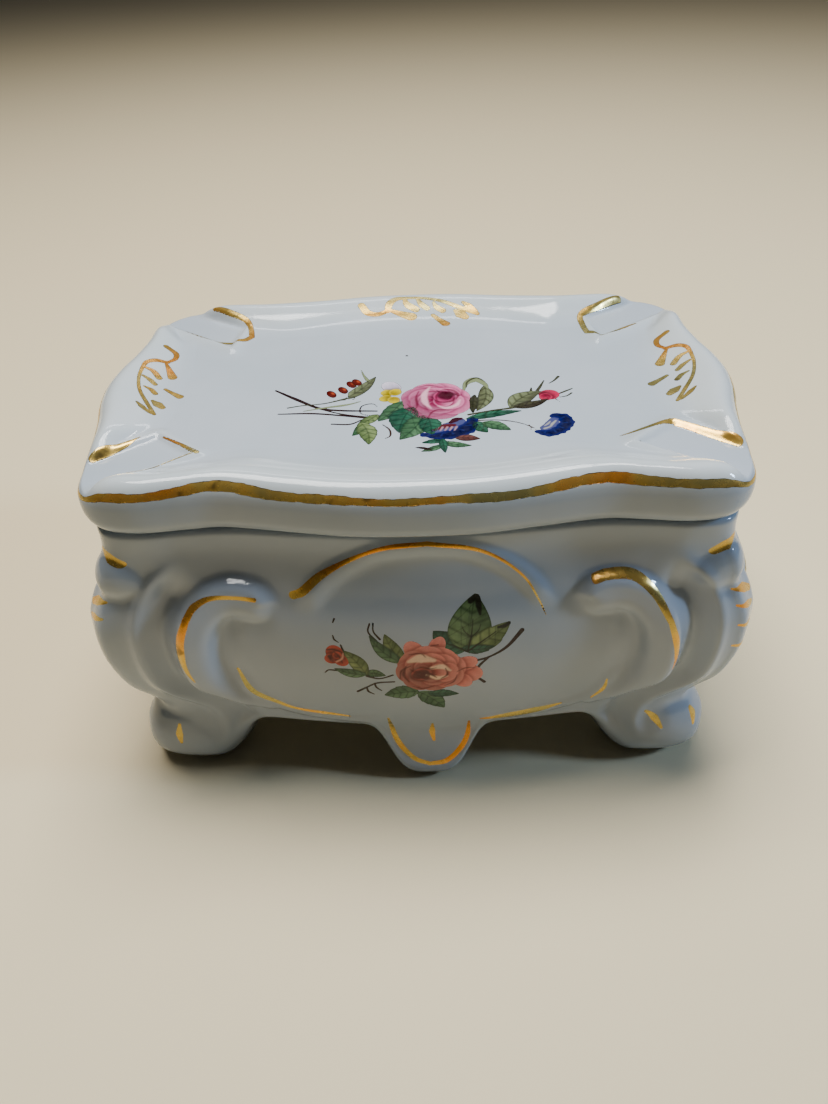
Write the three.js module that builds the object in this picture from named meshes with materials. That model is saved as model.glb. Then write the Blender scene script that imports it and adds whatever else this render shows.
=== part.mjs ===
// Porcelain trinket box: a footed bombe box with a lift-off tray lid.
// Millimetres, +Z up, +X along the length, front towards -Y.
// The origin is on the table, under the middle of the box.
import * as THREE from "three";

// Plan outlines, one quadrant each, from the middle of the side (+X) round to
// the middle of the front or back (+Y). The other three quadrants are mirrored.
const LID_OUTLINE = [
  [58.4, 0], [57.8, 6], [56.4, 12], [55.2, 19], [54.9, 25], [53.8, 31], [50.4, 34.8],
  [44.5, 36], [37, 35.3], [30.5, 34.9], [20, 36.6], [10, 38.2], [0, 38.6],
];
const NECK_OUTLINE = [
  [55, 0], [54.6, 6], [53.7, 12], [53, 19], [53.1, 25], [52.8, 30], [50, 33.6],
  [44, 34.6], [37, 33.9], [29.5, 33.6], [20, 34.6], [10, 35.6], [0, 36],
];
const BULGE_OUTLINE = [
  [60, 0], [59.9, 6], [60, 12], [60.5, 19], [60.8, 25.4], [59.9, 32], [56.3, 37.2],
  [48, 39.3], [38, 39.2], [29.5, 39], [20, 39.9], [10, 40.8], [0, 41.2],
];

// Heights above the table.
const RIM_TOP = 58.6;
const LID_SEAT = 58.9;
const LID_WIDEST = 63;
const LID_CREST = 68.9;
const DISH_FLOOR = 66.0;
const LID_CEILING = 62.3;
const FLANGE_FOOT = 55.4;
const CAVITY_FLOOR = 19;
const UNDERSIDE = 15;
const APRON_EDGE = 13.9;
const PENDANT_TIP = 0.6;

// Walls and edges.
const RIM_WIDTH = 4;
const FLANGE_GAP = 0.8;
const FLANGE_WIDTH = 2.5;
const APRON_ROUND = 2.2;
const FOOT_ROUND = 6.5;
const APRON_LAND = 0.8;
const FOOT_LAND = 3.4;
const PENDANT_HALF_WIDTH = 8.6;
const PENDANT_FLARE = 2;
const PENDANT_SHIFT = 1.4;

// Corner rests: channels cut through the rim of the lid. The two front ones sit
// nearer the sides than the two back ones, and end on the opposite slant.
const REST_FLOOR = 65.9;
const REST_HALF_WIDTH = 4.5;
const REST_ANGLE = THREE.MathUtils.degToRad(36.2);
const FRONT_REST = { innerEnd: 43.9, skew: 0.24, offset: -8.3 };
const BACK_REST = { innerEnd: 42, skew: -0.5, offset: -3.9 };
const RIM_DIP = 1.7;

// How far the wall has swelled from the neck outline (0) to the bulge outline (1)
// at each height: in the middle of a face, beside and at a corner, in the cavity.
const FACE_SWELL = [[0, 0.48], [13, 0.48], [17, 0.62], [22, 0.84], [28, 0.98], [35, 1],
  [42, 0.8], [48, 0.4], [54, 0.05], [RIM_TOP, 0]];
const FOOT_SWELL = [[0, 0.5], [6, 0.54], [10, 0.5], [14, 0.42], [18, 0.46], [22, 0.64], [28, 0.9],
  [34, 1], [40, 0.96], [46, 0.6], [52, 0.2], [55, 0.02], [RIM_TOP, 0]];
const CORNER_SWELL = [[0, 0.42], [5, 0.48], [9.5, 0.42], [13, 0.14], [15.8, -0.1], [19.5, 0.2],
  [23.5, 0.64], [28, 0.88], [33, 1], [39, 0.95], [43, 0.72], [46.3, 0.5], [49, 0.46], [52, 0.2],
  [55, 0.02], [RIM_TOP, 0]];
const CAVITY_SWELL = [[CAVITY_FLOOR, 0], [25, 0.25], [38, 0.45], [50, 0.15], [RIM_TOP, 0]];

// Columns round the plan, evenly spaced along the bulge outline.
const COLUMNS = 112;

const smoothstep = THREE.MathUtils.smoothstep;
const lerp = THREE.MathUtils.lerp;

function closedCurve(quadrant) {
  const mirrored = (points, sx, sy) => points.map(([x, y]) => new THREE.Vector3(sx * x, sy * y, 0));
  const back = [...quadrant].reverse();
  return new THREE.CatmullRomCurve3([
    ...mirrored(quadrant, 1, 1),
    ...mirrored(back.slice(1), -1, 1),
    ...mirrored(quadrant.slice(1), -1, -1),
    ...mirrored(back.slice(1, -1), 1, -1),
  ], true, "catmullrom", 0.5);
}

const lidCurve = closedCurve(LID_OUTLINE);
const neckCurve = closedCurve(NECK_OUTLINE);
const bulgeCurve = closedCurve(BULGE_OUTLINE);
bulgeCurve.arcLengthDivisions = 480;

// A smooth curve through [height, value] knots.
function knotValue(knots, height) {
  const last = knots.length - 1;
  const z = THREE.MathUtils.clamp(height, knots[0][0], knots[last][0]);
  const i = Math.min(last - 1, Math.max(0, knots.findIndex((knot) => knot[0] >= z) - 1));
  const slope = (k) => {
    const low = knots[Math.max(0, k - 1)];
    const high = knots[Math.min(last, k + 1)];
    return (high[1] - low[1]) / (high[0] - low[0]);
  };
  const span = knots[i + 1][0] - knots[i][0];
  const f = (z - knots[i][0]) / span;
  return (2 * f ** 3 - 3 * f ** 2 + 1) * knots[i][1] + (f ** 3 - 2 * f ** 2 + f) * span * slope(i)
    + (3 * f ** 2 - 2 * f ** 3) * knots[i + 1][1] + (f ** 3 - f ** 2) * span * slope(i + 1);
}

// Moves a plan point inwards, square to an ellipse of the bulge's size, so that
// rings drawn further and further in never cross.
function inset(point, distance) {
  const { x: halfLength } = bulgeCurve.points[0];
  const { y: halfDepth } = bulgeCurve.points[BULGE_OUTLINE.length - 1];
  const inward = new THREE.Vector2(point.x / halfLength ** 2, point.y / halfDepth ** 2).normalize();
  return new THREE.Vector2(point.x - distance * inward.x, point.y - distance * inward.y);
}

const at = (plan, z) => new THREE.Vector3(plan.x, plan.y, z);

// Rings that shrink towards the vertical axis at the scales given.
function shrink(ring, scales, heightAt) {
  return scales.map((scale) => at(new THREE.Vector2(ring.x * scale, ring.y * scale), heightAt(scale)));
}

// A lathe whose columns follow a plan outline instead of a circle. section(t)
// gives one column's points from the axis, round the solid, back to the axis.
function outlineLathe(section) {
  const columns = [];
  for (let i = 0; i < COLUMNS; i += 1) {
    columns.push(section(bulgeCurve.getUtoTmapping(i / COLUMNS)));
  }
  const rings = columns[0].length;
  const profile = columns[0].map((point) => new THREE.Vector2(Math.hypot(point.x, point.y), point.z));
  const geometry = new THREE.LatheGeometry(profile, COLUMNS);
  const position = geometry.getAttribute("position");
  for (let i = 0; i <= COLUMNS; i += 1) {
    for (let j = 0; j < rings; j += 1) {
      const point = columns[i % COLUMNS][j];
      position.setXYZ(i * rings + j, point.x, point.y, point.z);
    }
  }
  geometry.computeVertexNormals();
  return geometry;
}

// 1 over a corner foot, 0 over the middle of a face.
function footWeight(x, y) {
  return smoothstep(Math.abs(x), 31, 43) * smoothstep(Math.abs(y), 15, 27);
}

// 1 at the very corner, fading out on both sides of it.
function cornerWeight(x, y) {
  const around = THREE.MathUtils.radToDeg(Math.atan2(Math.abs(y), Math.abs(x)));
  return Math.exp(-(((around - 30) / 9) ** 2));
}

// Distance along a long face from the middle of its panel and pendant.
function fromPendant(x, y) {
  return Math.abs(x + PENDANT_SHIFT * Math.sign(y));
}

// Height of the lower edge of the wall: feet at the corners, a straight apron
// between them, and a tongue-shaped pendant in the middle of front and back.
function lowerEdge(x, y) {
  const foot = smoothstep(Math.abs(x), 30, 43.6) * smoothstep(Math.abs(y), 12, 25);
  const onLongFace = Math.abs(y) > 20 ? 1 : 0;
  const pendant = onLongFace * Math.exp(-((fromPendant(x, y) / PENDANT_HALF_WIDTH) ** 4.2));
  return APRON_EDGE * (1 - foot) - (APRON_EDGE - PENDANT_TIP) * pendant;
}

// The outer wall of the base at one column and height.
function wallPoint(t, z) {
  const neck = neckCurve.getPoint(t);
  const bulge = bulgeCurve.getPoint(t);
  const corner = lerp(knotValue(FOOT_SWELL, z), knotValue(CORNER_SWELL, z), cornerWeight(bulge.x, bulge.y));
  const swell = lerp(knotValue(FACE_SWELL, z), corner, footWeight(bulge.x, bulge.y));
  const plan = neck.lerp(bulge, swell);
  const onPendant = Math.abs(bulge.y) > 20 ? Math.exp(-((fromPendant(bulge.x, bulge.y) / 9) ** 4)) : 0;
  plan.y += Math.sign(plan.y) * PENDANT_FLARE * onPendant * THREE.MathUtils.clamp(1 - z / APRON_EDGE, 0, 1);
  return plan;
}

function baseSection(t) {
  const bulge = bulgeCurve.getPoint(t);
  const foot = footWeight(bulge.x, bulge.y);
  const round = lerp(APRON_ROUND, FOOT_ROUND, foot);
  const land = lerp(APRON_LAND, FOOT_LAND, foot);
  const edge = lowerEdge(bulge.x, bulge.y);

  const cavityWall = (z, extra = 0) => {
    const plan = neckCurve.getPoint(t).lerp(bulge, knotValue(CAVITY_SWELL, z));
    return at(inset(plan, RIM_WIDTH + extra), z);
  };
  const floorRing = inset(neckCurve.getPoint(t), RIM_WIDTH + 6);
  const cavity = [
    ...shrink(floorRing, [0, 0.5], () => CAVITY_FLOOR),
    at(floorRing, CAVITY_FLOOR),
    cavityWall(CAVITY_FLOOR + 1.6, 2.2),
    ...[25, 32, 40, 48, 54, RIM_TOP - 0.8].map((z) => cavityWall(z)),
    cavityWall(RIM_TOP, 0.8),
  ];

  const wallTop = [55, 52.5, 50.5, 48.5, 46, 42, 37, 31];
  const lowWall = edge + round;
  const wallLow = [0.75, 0.5, 0.25, 0].map((share) => lerp(lowWall, 31, share));
  const outside = [
    at(inset(wallPoint(t, RIM_TOP), 0.8), RIM_TOP),
    ...[RIM_TOP - 0.8, ...wallTop, ...wallLow].map((z) => at(wallPoint(t, z), z)),
  ];

  const lowestPlan = wallPoint(t, lowWall);
  const rolled = (angle) => {
    const a = THREE.MathUtils.degToRad(angle);
    return at(inset(lowestPlan, round * (1 - Math.cos(a))), edge + round * (1 - Math.sin(a)));
  };
  const underTurn = round + land;
  const inner = inset(lowestPlan, underTurn + lerp(2.5, 5, foot));
  const underside = [
    rolled(35),
    rolled(65),
    rolled(90),
    at(inset(lowestPlan, underTurn), edge),
    at(inset(lowestPlan, underTurn + lerp(1.5, 3.5, foot)), lerp(edge, UNDERSIDE, 0.45)),
    at(inner, UNDERSIDE),
    ...shrink(inner, [0.6, 0], () => UNDERSIDE),
  ];
  return [...underside.reverse(), ...outside.reverse(), ...cavity.reverse()];
}

// 1 inside a corner rest, 0 outside it.
function restDepth(plan) {
  const rest = plan.y > 0 ? BACK_REST : FRONT_REST;
  const [x, y] = [Math.abs(plan.x), Math.abs(plan.y)];
  const along = x * Math.cos(REST_ANGLE) + y * Math.sin(REST_ANGLE);
  const across = y * Math.cos(REST_ANGLE) - x * Math.sin(REST_ANGLE) - rest.offset;
  const sides = 1 - smoothstep(Math.abs(across), REST_HALF_WIDTH - 0.8, REST_HALF_WIDTH + 0.6);
  const fromEnd = along - (rest.innerEnd - rest.skew * across);
  return sides * smoothstep(fromEnd, -1, 1);
}

// How far the rim dips where a corner rest leaves it.
function rimDip(plan) {
  const rest = plan.y > 0 ? BACK_REST : FRONT_REST;
  const [x, y] = [Math.abs(plan.x), Math.abs(plan.y)];
  const across = y * Math.cos(REST_ANGLE) - x * Math.sin(REST_ANGLE) - rest.offset;
  return x > 40 ? RIM_DIP * Math.exp(-((across / 6.5) ** 4)) : 0;
}

function lidSection(t) {
  const outline = lidCurve.getPoint(t);
  const neck = neckCurve.getPoint(t);
  const top = (distance, z) => {
    const plan = inset(outline, distance);
    const height = z - rimDip(outline) * smoothstep(z, LID_WIDEST, LID_CREST);
    return at(plan, lerp(height, Math.min(height, REST_FLOOR), restDepth(plan)));
  };
  const flangeOuter = RIM_WIDTH + FLANGE_GAP;
  const flangeInner = flangeOuter + FLANGE_WIDTH;
  const dishEdge = inset(outline, 15);
  return [
    ...shrink(inset(neck, flangeInner + 1.5), [0, 0.6, 1], () => LID_CEILING),
    at(inset(neck, flangeInner + 0.3), LID_CEILING - 1.2),
    at(inset(neck, flangeInner), FLANGE_FOOT + 0.6),
    at(inset(neck, flangeInner - 0.6), FLANGE_FOOT),
    at(inset(neck, flangeOuter + 0.6), FLANGE_FOOT),
    at(inset(neck, flangeOuter), FLANGE_FOOT + 0.6),
    at(inset(neck, flangeOuter), LID_SEAT),
    at(inset(outline, 2.9), LID_SEAT),
    at(inset(outline, 1.4), LID_SEAT + 0.7),
    at(inset(outline, 0.4), LID_SEAT + 2),
    at(inset(outline, 0), LID_WIDEST),
    top(0.3, 65.4),
    top(1.1, 67),
    top(2.6, 68.3),
    top(4.8, LID_CREST),
    top(7.2, 68.5),
    top(9.6, 67.4),
    top(12, 66.5),
    at(dishEdge, DISH_FLOOR + 0.1),
    ...shrink(dishEdge, [0.7, 0], () => DISH_FLOOR),
  ];
}

function porcelain(name, geometry, color) {
  const material = new THREE.MeshStandardMaterial({ color, roughness: 0.12, metalness: 0 });
  const mesh = new THREE.Mesh(geometry, material);
  mesh.name = name;
  return mesh;
}

const trinketBox = new THREE.Group();
trinketBox.add(porcelain("box_base", outlineLathe(baseSection), 0xdfe3e6));
trinketBox.add(porcelain("box_lid", outlineLathe(lidSection), 0xe6eaec));

export default trinketBox;
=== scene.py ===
import math

import bpy
import numpy as np
from mathutils import Matrix, Vector
from mathutils.bvhtree import BVHTree


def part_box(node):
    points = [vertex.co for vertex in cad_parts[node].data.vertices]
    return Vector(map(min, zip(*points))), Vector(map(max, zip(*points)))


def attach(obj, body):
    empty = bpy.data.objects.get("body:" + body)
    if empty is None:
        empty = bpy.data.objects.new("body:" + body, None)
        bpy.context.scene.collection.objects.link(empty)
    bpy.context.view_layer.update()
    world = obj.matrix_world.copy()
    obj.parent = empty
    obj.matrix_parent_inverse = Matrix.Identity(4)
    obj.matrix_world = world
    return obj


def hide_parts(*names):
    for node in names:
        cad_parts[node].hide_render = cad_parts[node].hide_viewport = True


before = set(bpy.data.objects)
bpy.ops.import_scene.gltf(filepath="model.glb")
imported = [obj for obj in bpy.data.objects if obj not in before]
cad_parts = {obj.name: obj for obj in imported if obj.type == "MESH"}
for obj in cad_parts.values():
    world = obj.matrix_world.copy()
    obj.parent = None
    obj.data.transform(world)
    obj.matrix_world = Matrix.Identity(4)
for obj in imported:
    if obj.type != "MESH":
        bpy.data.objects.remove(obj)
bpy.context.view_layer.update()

# All shape code below works in millimetres; meshes are scaled to metres as they are made.
MM = 0.001

# ---------------------------------------------------------------- plan outlines and heights
# One quadrant each, from the middle of the side (+X) round to the middle of the back (+Y).
LID_OUTLINE = [
    (58.4, 0), (57.8, 6), (56.4, 12), (55.2, 19), (54.9, 25), (53.8, 31), (50.4, 34.8),
    (44.5, 36.0), (37, 35.3), (30.5, 34.9), (20, 36.6), (10, 38.2), (0, 38.6),
]
NECK_OUTLINE = [
    (55, 0), (54.6, 6), (53.7, 12), (53, 19), (53.1, 25), (52.8, 30), (50, 33.6),
    (44, 34.6), (37, 33.9), (29.5, 33.6), (20, 34.6), (10, 35.6), (0, 36),
]
BULGE_OUTLINE = [
    (60, 0), (59.8, 6), (59.2, 12), (59, 19), (59.3, 25.4), (59, 32), (55.8, 37),
    (48, 38.6), (38, 38.3), (29.5, 38.5), (20, 39.7), (10, 40.6), (0, 41),
]
TURN = 48  # outline points in one turn
HALF_LENGTH, HALF_DEPTH = BULGE_OUTLINE[0][0], BULGE_OUTLINE[-1][1]

LID_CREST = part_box("box_lid")[1][2] / MM
FLANGE_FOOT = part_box("box_lid")[0][2] / MM
RIM_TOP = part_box("box_base")[1][2] / MM
LID_SEAT = RIM_TOP + 0.3
LID_WIDEST = LID_CREST - 5.9
LID_CEILING = LID_CREST - 6.6
DISH_FLOOR = LID_CREST - 2.9
REST_FLOOR = LID_CREST - 2.95
CAVITY_FLOOR = 19
UNDERSIDE = 15
APRON_EDGE = 13.9
PENDANT_TIP = 0.6

RIM_WIDTH = 4
RIM_ROUND = 0.9
FLANGE_GAP = 0.8
FLANGE_WIDTH = 2.5
APRON_ROUND, FOOT_ROUND = 2.2, 6.5
APRON_LAND, FOOT_LAND = 0.8, 3.4
PENDANT_HALF_WIDTH = 8.6
PENDANT_FLARE = 2
CORNER_AZIMUTH, CORNER_SPREAD = 30, 9  # degrees, from the long axis
NOTCH_HEIGHT, NOTCH_DEPTH = 13.5, 0.34  # where each short face draws in beside the feet
PANEL_SHIFT = 1.4  # the panel and its pendant sit this far to the right of each long face's middle

REST_HALF_WIDTH = 4.5
REST_ANGLE = math.radians(36.2)
REST_LIP = 0.8  # height of the soft lip round each rest
WAIST_X = 30.5  # where the long sides of the lid draw in
# Front rests, back rests: the inner end's distance out, its slant, and the offset of the middle line.
REST_INNER_END = (43.9, 42)
REST_SKEW = (0.24, -0.5)
REST_OFFSET = (-8.3, -3.9)

# How far the wall swells from the neck towards the bulge, as (height, share) knots.
FACE_SWELL = [(0, 0.48), (13, 0.48), (17, 0.62), (22, 0.84), (28, 0.98), (35, 1),
              (42, 0.8), (48, 0.4), (54, 0.05), (RIM_TOP, 0)]
FOOT_SWELL = [(0, 0.5), (6, 0.54), (10, 0.5), (14, 0.42), (18, 0.46), (22, 0.64), (28, 0.9),
              (34, 1), (40, 0.96), (46, 0.6), (52, 0.2), (55, 0.02), (RIM_TOP, 0)]
CORNER_SWELL = [(0, 0.42), (5, 0.48), (9.5, 0.42), (13, 0.14), (15.8, -0.1), (19.5, 0.2), (23.5, 0.64),
                (28, 0.88), (33, 1), (39, 0.95), (43, 0.72), (46.3, 0.42), (49, 0.3), (52, 0.14),
                (55, 0.02), (RIM_TOP, 0)]
CAVITY_SWELL = [(CAVITY_FLOOR, 0), (25, 0.25), (38, 0.45), (50, 0.15), (RIM_TOP, 0)]

# The lid's upper profile: distance in from the widest outline, height.
RIM_PROFILE = [
    (0, LID_WIDEST), (0.12, LID_WIDEST + 1.6), (0.45, 66.0), (1.0, 67.15), (1.8, 68.1), (2.8, 68.7),
    (3.9, LID_CREST), (5.2, 68.7), (7, 68.1), (9.2, 67.2), (11.8, 66.45), (15, DISH_FLOOR + 0.1),
]

COLUMNS = 640
WALL_ROWS = 98


# ---------------------------------------------------------------- curves and steps
def smoothstep(low, high, x):
    """0 below low, 1 above high and a smooth ramp between."""
    f = np.clip((np.asarray(x, float) - low) / (high - low), 0, 1)
    return f * f * (3 - 2 * f)


def bell(x, width, power=2):
    """1 at zero, falling smoothly to 0 past the width."""
    return np.exp(-((x / width) ** power))


def unit(vectors):
    """Vectors scaled to length 1."""
    return vectors / np.maximum(np.linalg.norm(vectors, axis=-1, keepdims=True), 1e-9)


def run_length(path):
    """How far along a path each of its points lies."""
    return np.concatenate([[0], np.cumsum(np.linalg.norm(np.diff(path, axis=0), axis=1))])


def closed_points(quadrant):
    """Mirrors one quadrant of outline points into a whole turn."""
    q = np.array(quadrant, float)
    back = q[::-1]
    return np.vstack([q, back[1:] * [-1, 1], q[1:] * [-1, -1], back[1:-1] * [1, -1]])


LID_POINTS, NECK_POINTS, BULGE_POINTS = map(closed_points, (LID_OUTLINE, NECK_OUTLINE, BULGE_OUTLINE))


def catmull_rom(p0, p1, p2, p3, f):
    """The point a share f of the way from p1 to p2 on a smooth curve through all four."""
    return 0.5 * (2 * p1 + (p2 - p0) * f + (2 * p0 - 5 * p1 + 4 * p2 - p3) * f**2
                  + (3 * p1 - p0 - 3 * p2 + p3) * f**3)


def outline_at(points, t):
    """Points on a closed outline, t counting from one of its points to the next."""
    t = np.asarray(t, float) % TURN
    i = np.floor(t).astype(int)
    f = (t - i)[..., None]
    return catmull_rom(points[(i - 1) % TURN], points[i % TURN], points[(i + 1) % TURN],
                       points[(i + 2) % TURN], f)


def open_curve(points, samples=200):
    """A smooth curve through the points, evenly spaced along its length."""
    p = np.array(points, float)
    p = np.vstack([2 * p[0] - p[1], p, 2 * p[-1] - p[-2]])
    t = np.linspace(0, len(points) - 1, samples * 3)
    i = np.minimum(np.floor(t).astype(int), len(points) - 2)
    dense = catmull_rom(p[i], p[i + 1], p[i + 2], p[i + 3], (t - i)[:, None])
    along = run_length(dense)
    even = np.linspace(0, along[-1], samples)
    return np.stack([np.interp(even, along, dense[:, k]) for k in range(dense.shape[1])], axis=1)


def knot_curve(knots, z):
    """A smooth curve through (height, value) knots."""
    heights, values = np.array(knots, float).T
    slopes = np.empty_like(values)
    slopes[1:-1] = (values[2:] - values[:-2]) / (heights[2:] - heights[:-2])
    slopes[0] = (values[1] - values[0]) / (heights[1] - heights[0])
    slopes[-1] = (values[-1] - values[-2]) / (heights[-1] - heights[-2])
    z = np.clip(z, heights[0], heights[-1])
    i = np.clip(np.searchsorted(heights, z) - 1, 0, len(heights) - 2)
    span = heights[i + 1] - heights[i]
    f = (z - heights[i]) / span
    return ((2 * f**3 - 3 * f**2 + 1) * values[i] + (f**3 - 2 * f**2 + f) * span * slopes[i]
            + (3 * f**2 - 2 * f**3) * values[i + 1] + (f**3 - f**2) * span * slopes[i + 1])


def even_columns(count):
    """Curve parameters evenly spaced along the bulge outline."""
    t = np.linspace(0, TURN, TURN * 200 + 1)
    along = run_length(outline_at(BULGE_POINTS, t))
    return np.interp(np.arange(count) / count * along[-1], along, t)


def outwards(plan):
    """Unit directions square to an ellipse of the bulge's size."""
    return unit(plan / np.array([HALF_LENGTH**2, HALF_DEPTH**2]))


def inset(plan, distance):
    """Moves plan points inwards, by one distance or by one for each point."""
    return plan - np.asarray(distance, float)[..., None] * outwards(plan)


def ring(plan, height):
    """Plan points lifted to a height."""
    height = np.broadcast_to(np.asarray(height, float), plan.shape[:-1])
    return np.concatenate([plan, height[..., None]], axis=-1)


CHUNK = 8000  # points handled at once, to save memory
FAR = 1e3


def path_distance(a, z, path, reach=12):
    """Distance from each point to a path, how far along it (0 to 1), and the side it lies on.

    Points beyond the reach of the path's box are only said to be far.
    """
    shape = a.shape
    points = np.stack([a.ravel(), z.ravel()], axis=1)
    low, high = path.min(0) - reach, path.max(0) + reach
    near = np.where(((points > low) & (points < high)).all(1))[0]
    distance, along, side = np.full(len(points), FAR), np.zeros(len(points)), np.ones(len(points))
    start, step = path[:-1], np.diff(path, axis=0)
    for chunk in np.array_split(near, max(1, len(near) // CHUNK)):
        rel = points[chunk][:, None, :] - start
        f = np.clip((rel * step).sum(2) / (step**2).sum(1), 0, 1)
        gap = rel - f[..., None] * step
        squared = (gap**2).sum(2)
        best = squared.argmin(1)
        row = np.arange(len(chunk))
        distance[chunk] = np.sqrt(squared[row, best])
        along[chunk] = (best + f[row, best]) / len(step)
        cross = step[best, 0] * gap[row, best, 1] - step[best, 1] * gap[row, best, 0]
        side[chunk] = np.sign(cross)
    return distance.reshape(shape), along.reshape(shape), side.reshape(shape)


# ---------------------------------------------------------------- relief cast into the base
# Points are (distance from the middle of the face, height) on the long faces.
SCROLL_BAND = open_curve([
    (29.2, 45.8), (32.4, 46.2), (35.2, 45.5), (37.5, 43.7), (39.2, 41), (40.1, 37.8),
    (40.4, 34.2), (40, 30.4), (38.8, 26.8), (36.4, 23.8), (33.2, 21.8), (29.5, 20)])
RIB_CREST = open_curve([
    (40, 53.2), (43, 51.2), (46.2, 48.4), (48.6, 44.8), (49.9, 40.8), (50.3, 36), (50.2, 31),
    (49.5, 26.4), (47.2, 22.8), (44.3, 20.5), (41, 17.6), (39.2, 13.6), (39.6, 9.4), (41.6, 6.2)])
ARCH = open_curve([(-2, 57), (6.5, 56.2), (12, 53.8), (16.8, 50.3), (20, 46.3), (21, 43.6)])
CARTOUCHE_EDGE = open_curve([
    (33.6, 30), (32.8, 26.2), (30.8, 22.8), (26.4, 19.8), (20.6, 18), (12.5, 16.9), (6, 17.3)])
SIDE_ARCH = open_curve([(-1, 56.2), (3.6, 55.4), (6.8, 53.3), (9, 50.4), (10, 47.4)])
PENDANT_RIM = open_curve([(10.4, 15.2), (8.9, 11.5), (7.3, 7.2), (4.6, 4.2), (-1, 2.9)])
SIDE_SHIFT = 19  # the same scrolls sit this much closer to the middle of the short faces
SIDE_SHARE = 0.55  # and are this much flatter there

SCROLL_HALF_WIDTH, SCROLL_TAIL_HALF_WIDTH = 3.9, 1.1
SCROLL_RISE, SCROLL_TAIL_RISE = 1.9, 0.6
SCROLL_GROOVE = 0.9
RIB_DEPTH = 2.1
ARCH_RISE, CARTOUCHE_RISE, PENDANT_RIM_RISE = 0.75, 0.5, 0.4
# Bosses on each corner: centre, half-size, rise, and the power that rounds its edge.
KNUCKLE = (52.3, 33.8, 49.4), (6.6, 5.6, 3.6), 1.3, 0.65
FOOT_BALL = (47.4, 32.4, 7.6), (7.6, 7.4, 7.4), 0.75, 0.8


def band(distance, half_width):
    """A rounded band: 1 on its centre line, 0 from its edges outwards."""
    f = np.clip(distance / half_width, 0, 1)
    return (1 - f**2.6)**1.4


def scroll_relief(a, z):
    """The C-scroll that opens towards the panel, and the ribbon outside it that rolls up into the foot."""
    distance, along, side = path_distance(a, z, SCROLL_BAND, reach=20)
    tail = smoothstep(0.6, 1.0, along)
    half_width = SCROLL_HALF_WIDTH + (SCROLL_TAIL_HALF_WIDTH - SCROLL_HALF_WIDTH) * tail
    f = np.clip(distance / half_width, 0, 1)
    outer = (1 - f**4) ** 1.2 * (1 + 0.3 * f)
    inner = (1 - f**2.2) ** 1.3
    rise = SCROLL_RISE + (SCROLL_TAIL_RISE - SCROLL_RISE) * tail
    scroll = rise * np.where(side > 0, outer, inner)
    groove = smoothstep(half_width * 0.6, half_width * 1.05, distance) * (1 - smoothstep(4.5, 9.5, distance))
    groove = groove * (side < 0) * smoothstep(0, 0.15, along) * (1 - tail)

    distance, along, side = path_distance(a, z, RIB_CREST)
    panel_side = np.where(side < 0, distance, 0)
    valley = 1 - (1 - np.clip(panel_side / 3.6, 0, 1)) ** 1.6 - smoothstep(3.6, 7.5, panel_side)
    depth = RIB_DEPTH * smoothstep(0, 0.14, along) * (1 - smoothstep(0.9, 1, along))
    depth = depth * (1 - 0.3 * smoothstep(0.55, 0.85, along))
    corner_side = np.where(side > 0, distance, 0)
    step = smoothstep(0, 2.2, corner_side) * (1 - smoothstep(2.5, 8, corner_side))
    return scroll - SCROLL_GROOVE * groove - depth * (1.15 * valley + 0.35 * step)


def arch_relief(a, z, arch):
    """A ridge that is steep above the arch, soft below it, and fades out at its foot."""
    distance, along, side = path_distance(a, z, arch)
    fade = 1 - smoothstep(0.82, 1.0, along)
    return ARCH_RISE * fade * band(distance, np.where(side > 0, 1.3, 2.6))


def face_relief(a, z):
    """Relief of a long face: scrolls, the arch over the panel, its lower edge, the pendant's rim."""
    relief = scroll_relief(a, z) + arch_relief(a, z, ARCH)
    distance, along, _ = path_distance(a, z, CARTOUCHE_EDGE)
    fade = smoothstep(0, 0.12, along) * (1 - smoothstep(0.9, 1, along))
    relief = relief + CARTOUCHE_RISE * fade * band(distance, 1.5)
    distance, _, _ = path_distance(a, z, PENDANT_RIM)
    return relief + PENDANT_RIM_RISE * band(distance, 1.3)


def boss_relief(plan, z, centre, size, rise, power):
    """A rounded boss on each of the four corners, where an ellipsoid meets the wall."""
    gap = (np.abs(ring(plan, z)) - np.array(centre)) / np.array(size)
    return rise * np.clip(1 - (gap**2).sum(-1), 0, 1) ** power


def from_panel(points):
    """Distance along a long face from the middle of its panel."""
    return np.abs(points[..., 0] + PANEL_SHIFT * np.sign(points[..., 1]))


def base_relief(points, t):
    """Height of the relief over the plain wall at each point; t is the outline parameter."""
    x, y, z = from_panel(points), np.abs(points[..., 1]), points[..., 2]
    on_long_face = (np.abs((t % (TURN / 2)) - TURN / 4) < TURN / 8)[:, None]
    on_side = SIDE_SHARE * scroll_relief(y + SIDE_SHIFT, z) + arch_relief(y, z, SIDE_ARCH)
    relief = np.where(on_long_face, face_relief(x, z), on_side)
    for boss in (KNUCKLE, FOOT_BALL):
        relief = relief + boss_relief(points[..., :2], z, *boss)
    # One pass of smoothing in each direction softens it as the glaze does.
    relief = 0.5 * relief + 0.25 * (np.roll(relief, 1, 0) + np.roll(relief, -1, 0))
    relief[:, 1:-1] = 0.5 * relief[:, 1:-1] + 0.25 * (relief[:, 2:] + relief[:, :-2])
    return relief * smoothstep(RIM_TOP, RIM_TOP - 1.5, z)


# ---------------------------------------------------------------- surfaces
def foot_weight(plan):
    """1 over the feet, 0 along the middles of the faces."""
    return smoothstep(31, 43, np.abs(plan[..., 0])) * smoothstep(15, 27, np.abs(plan[..., 1]))


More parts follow.
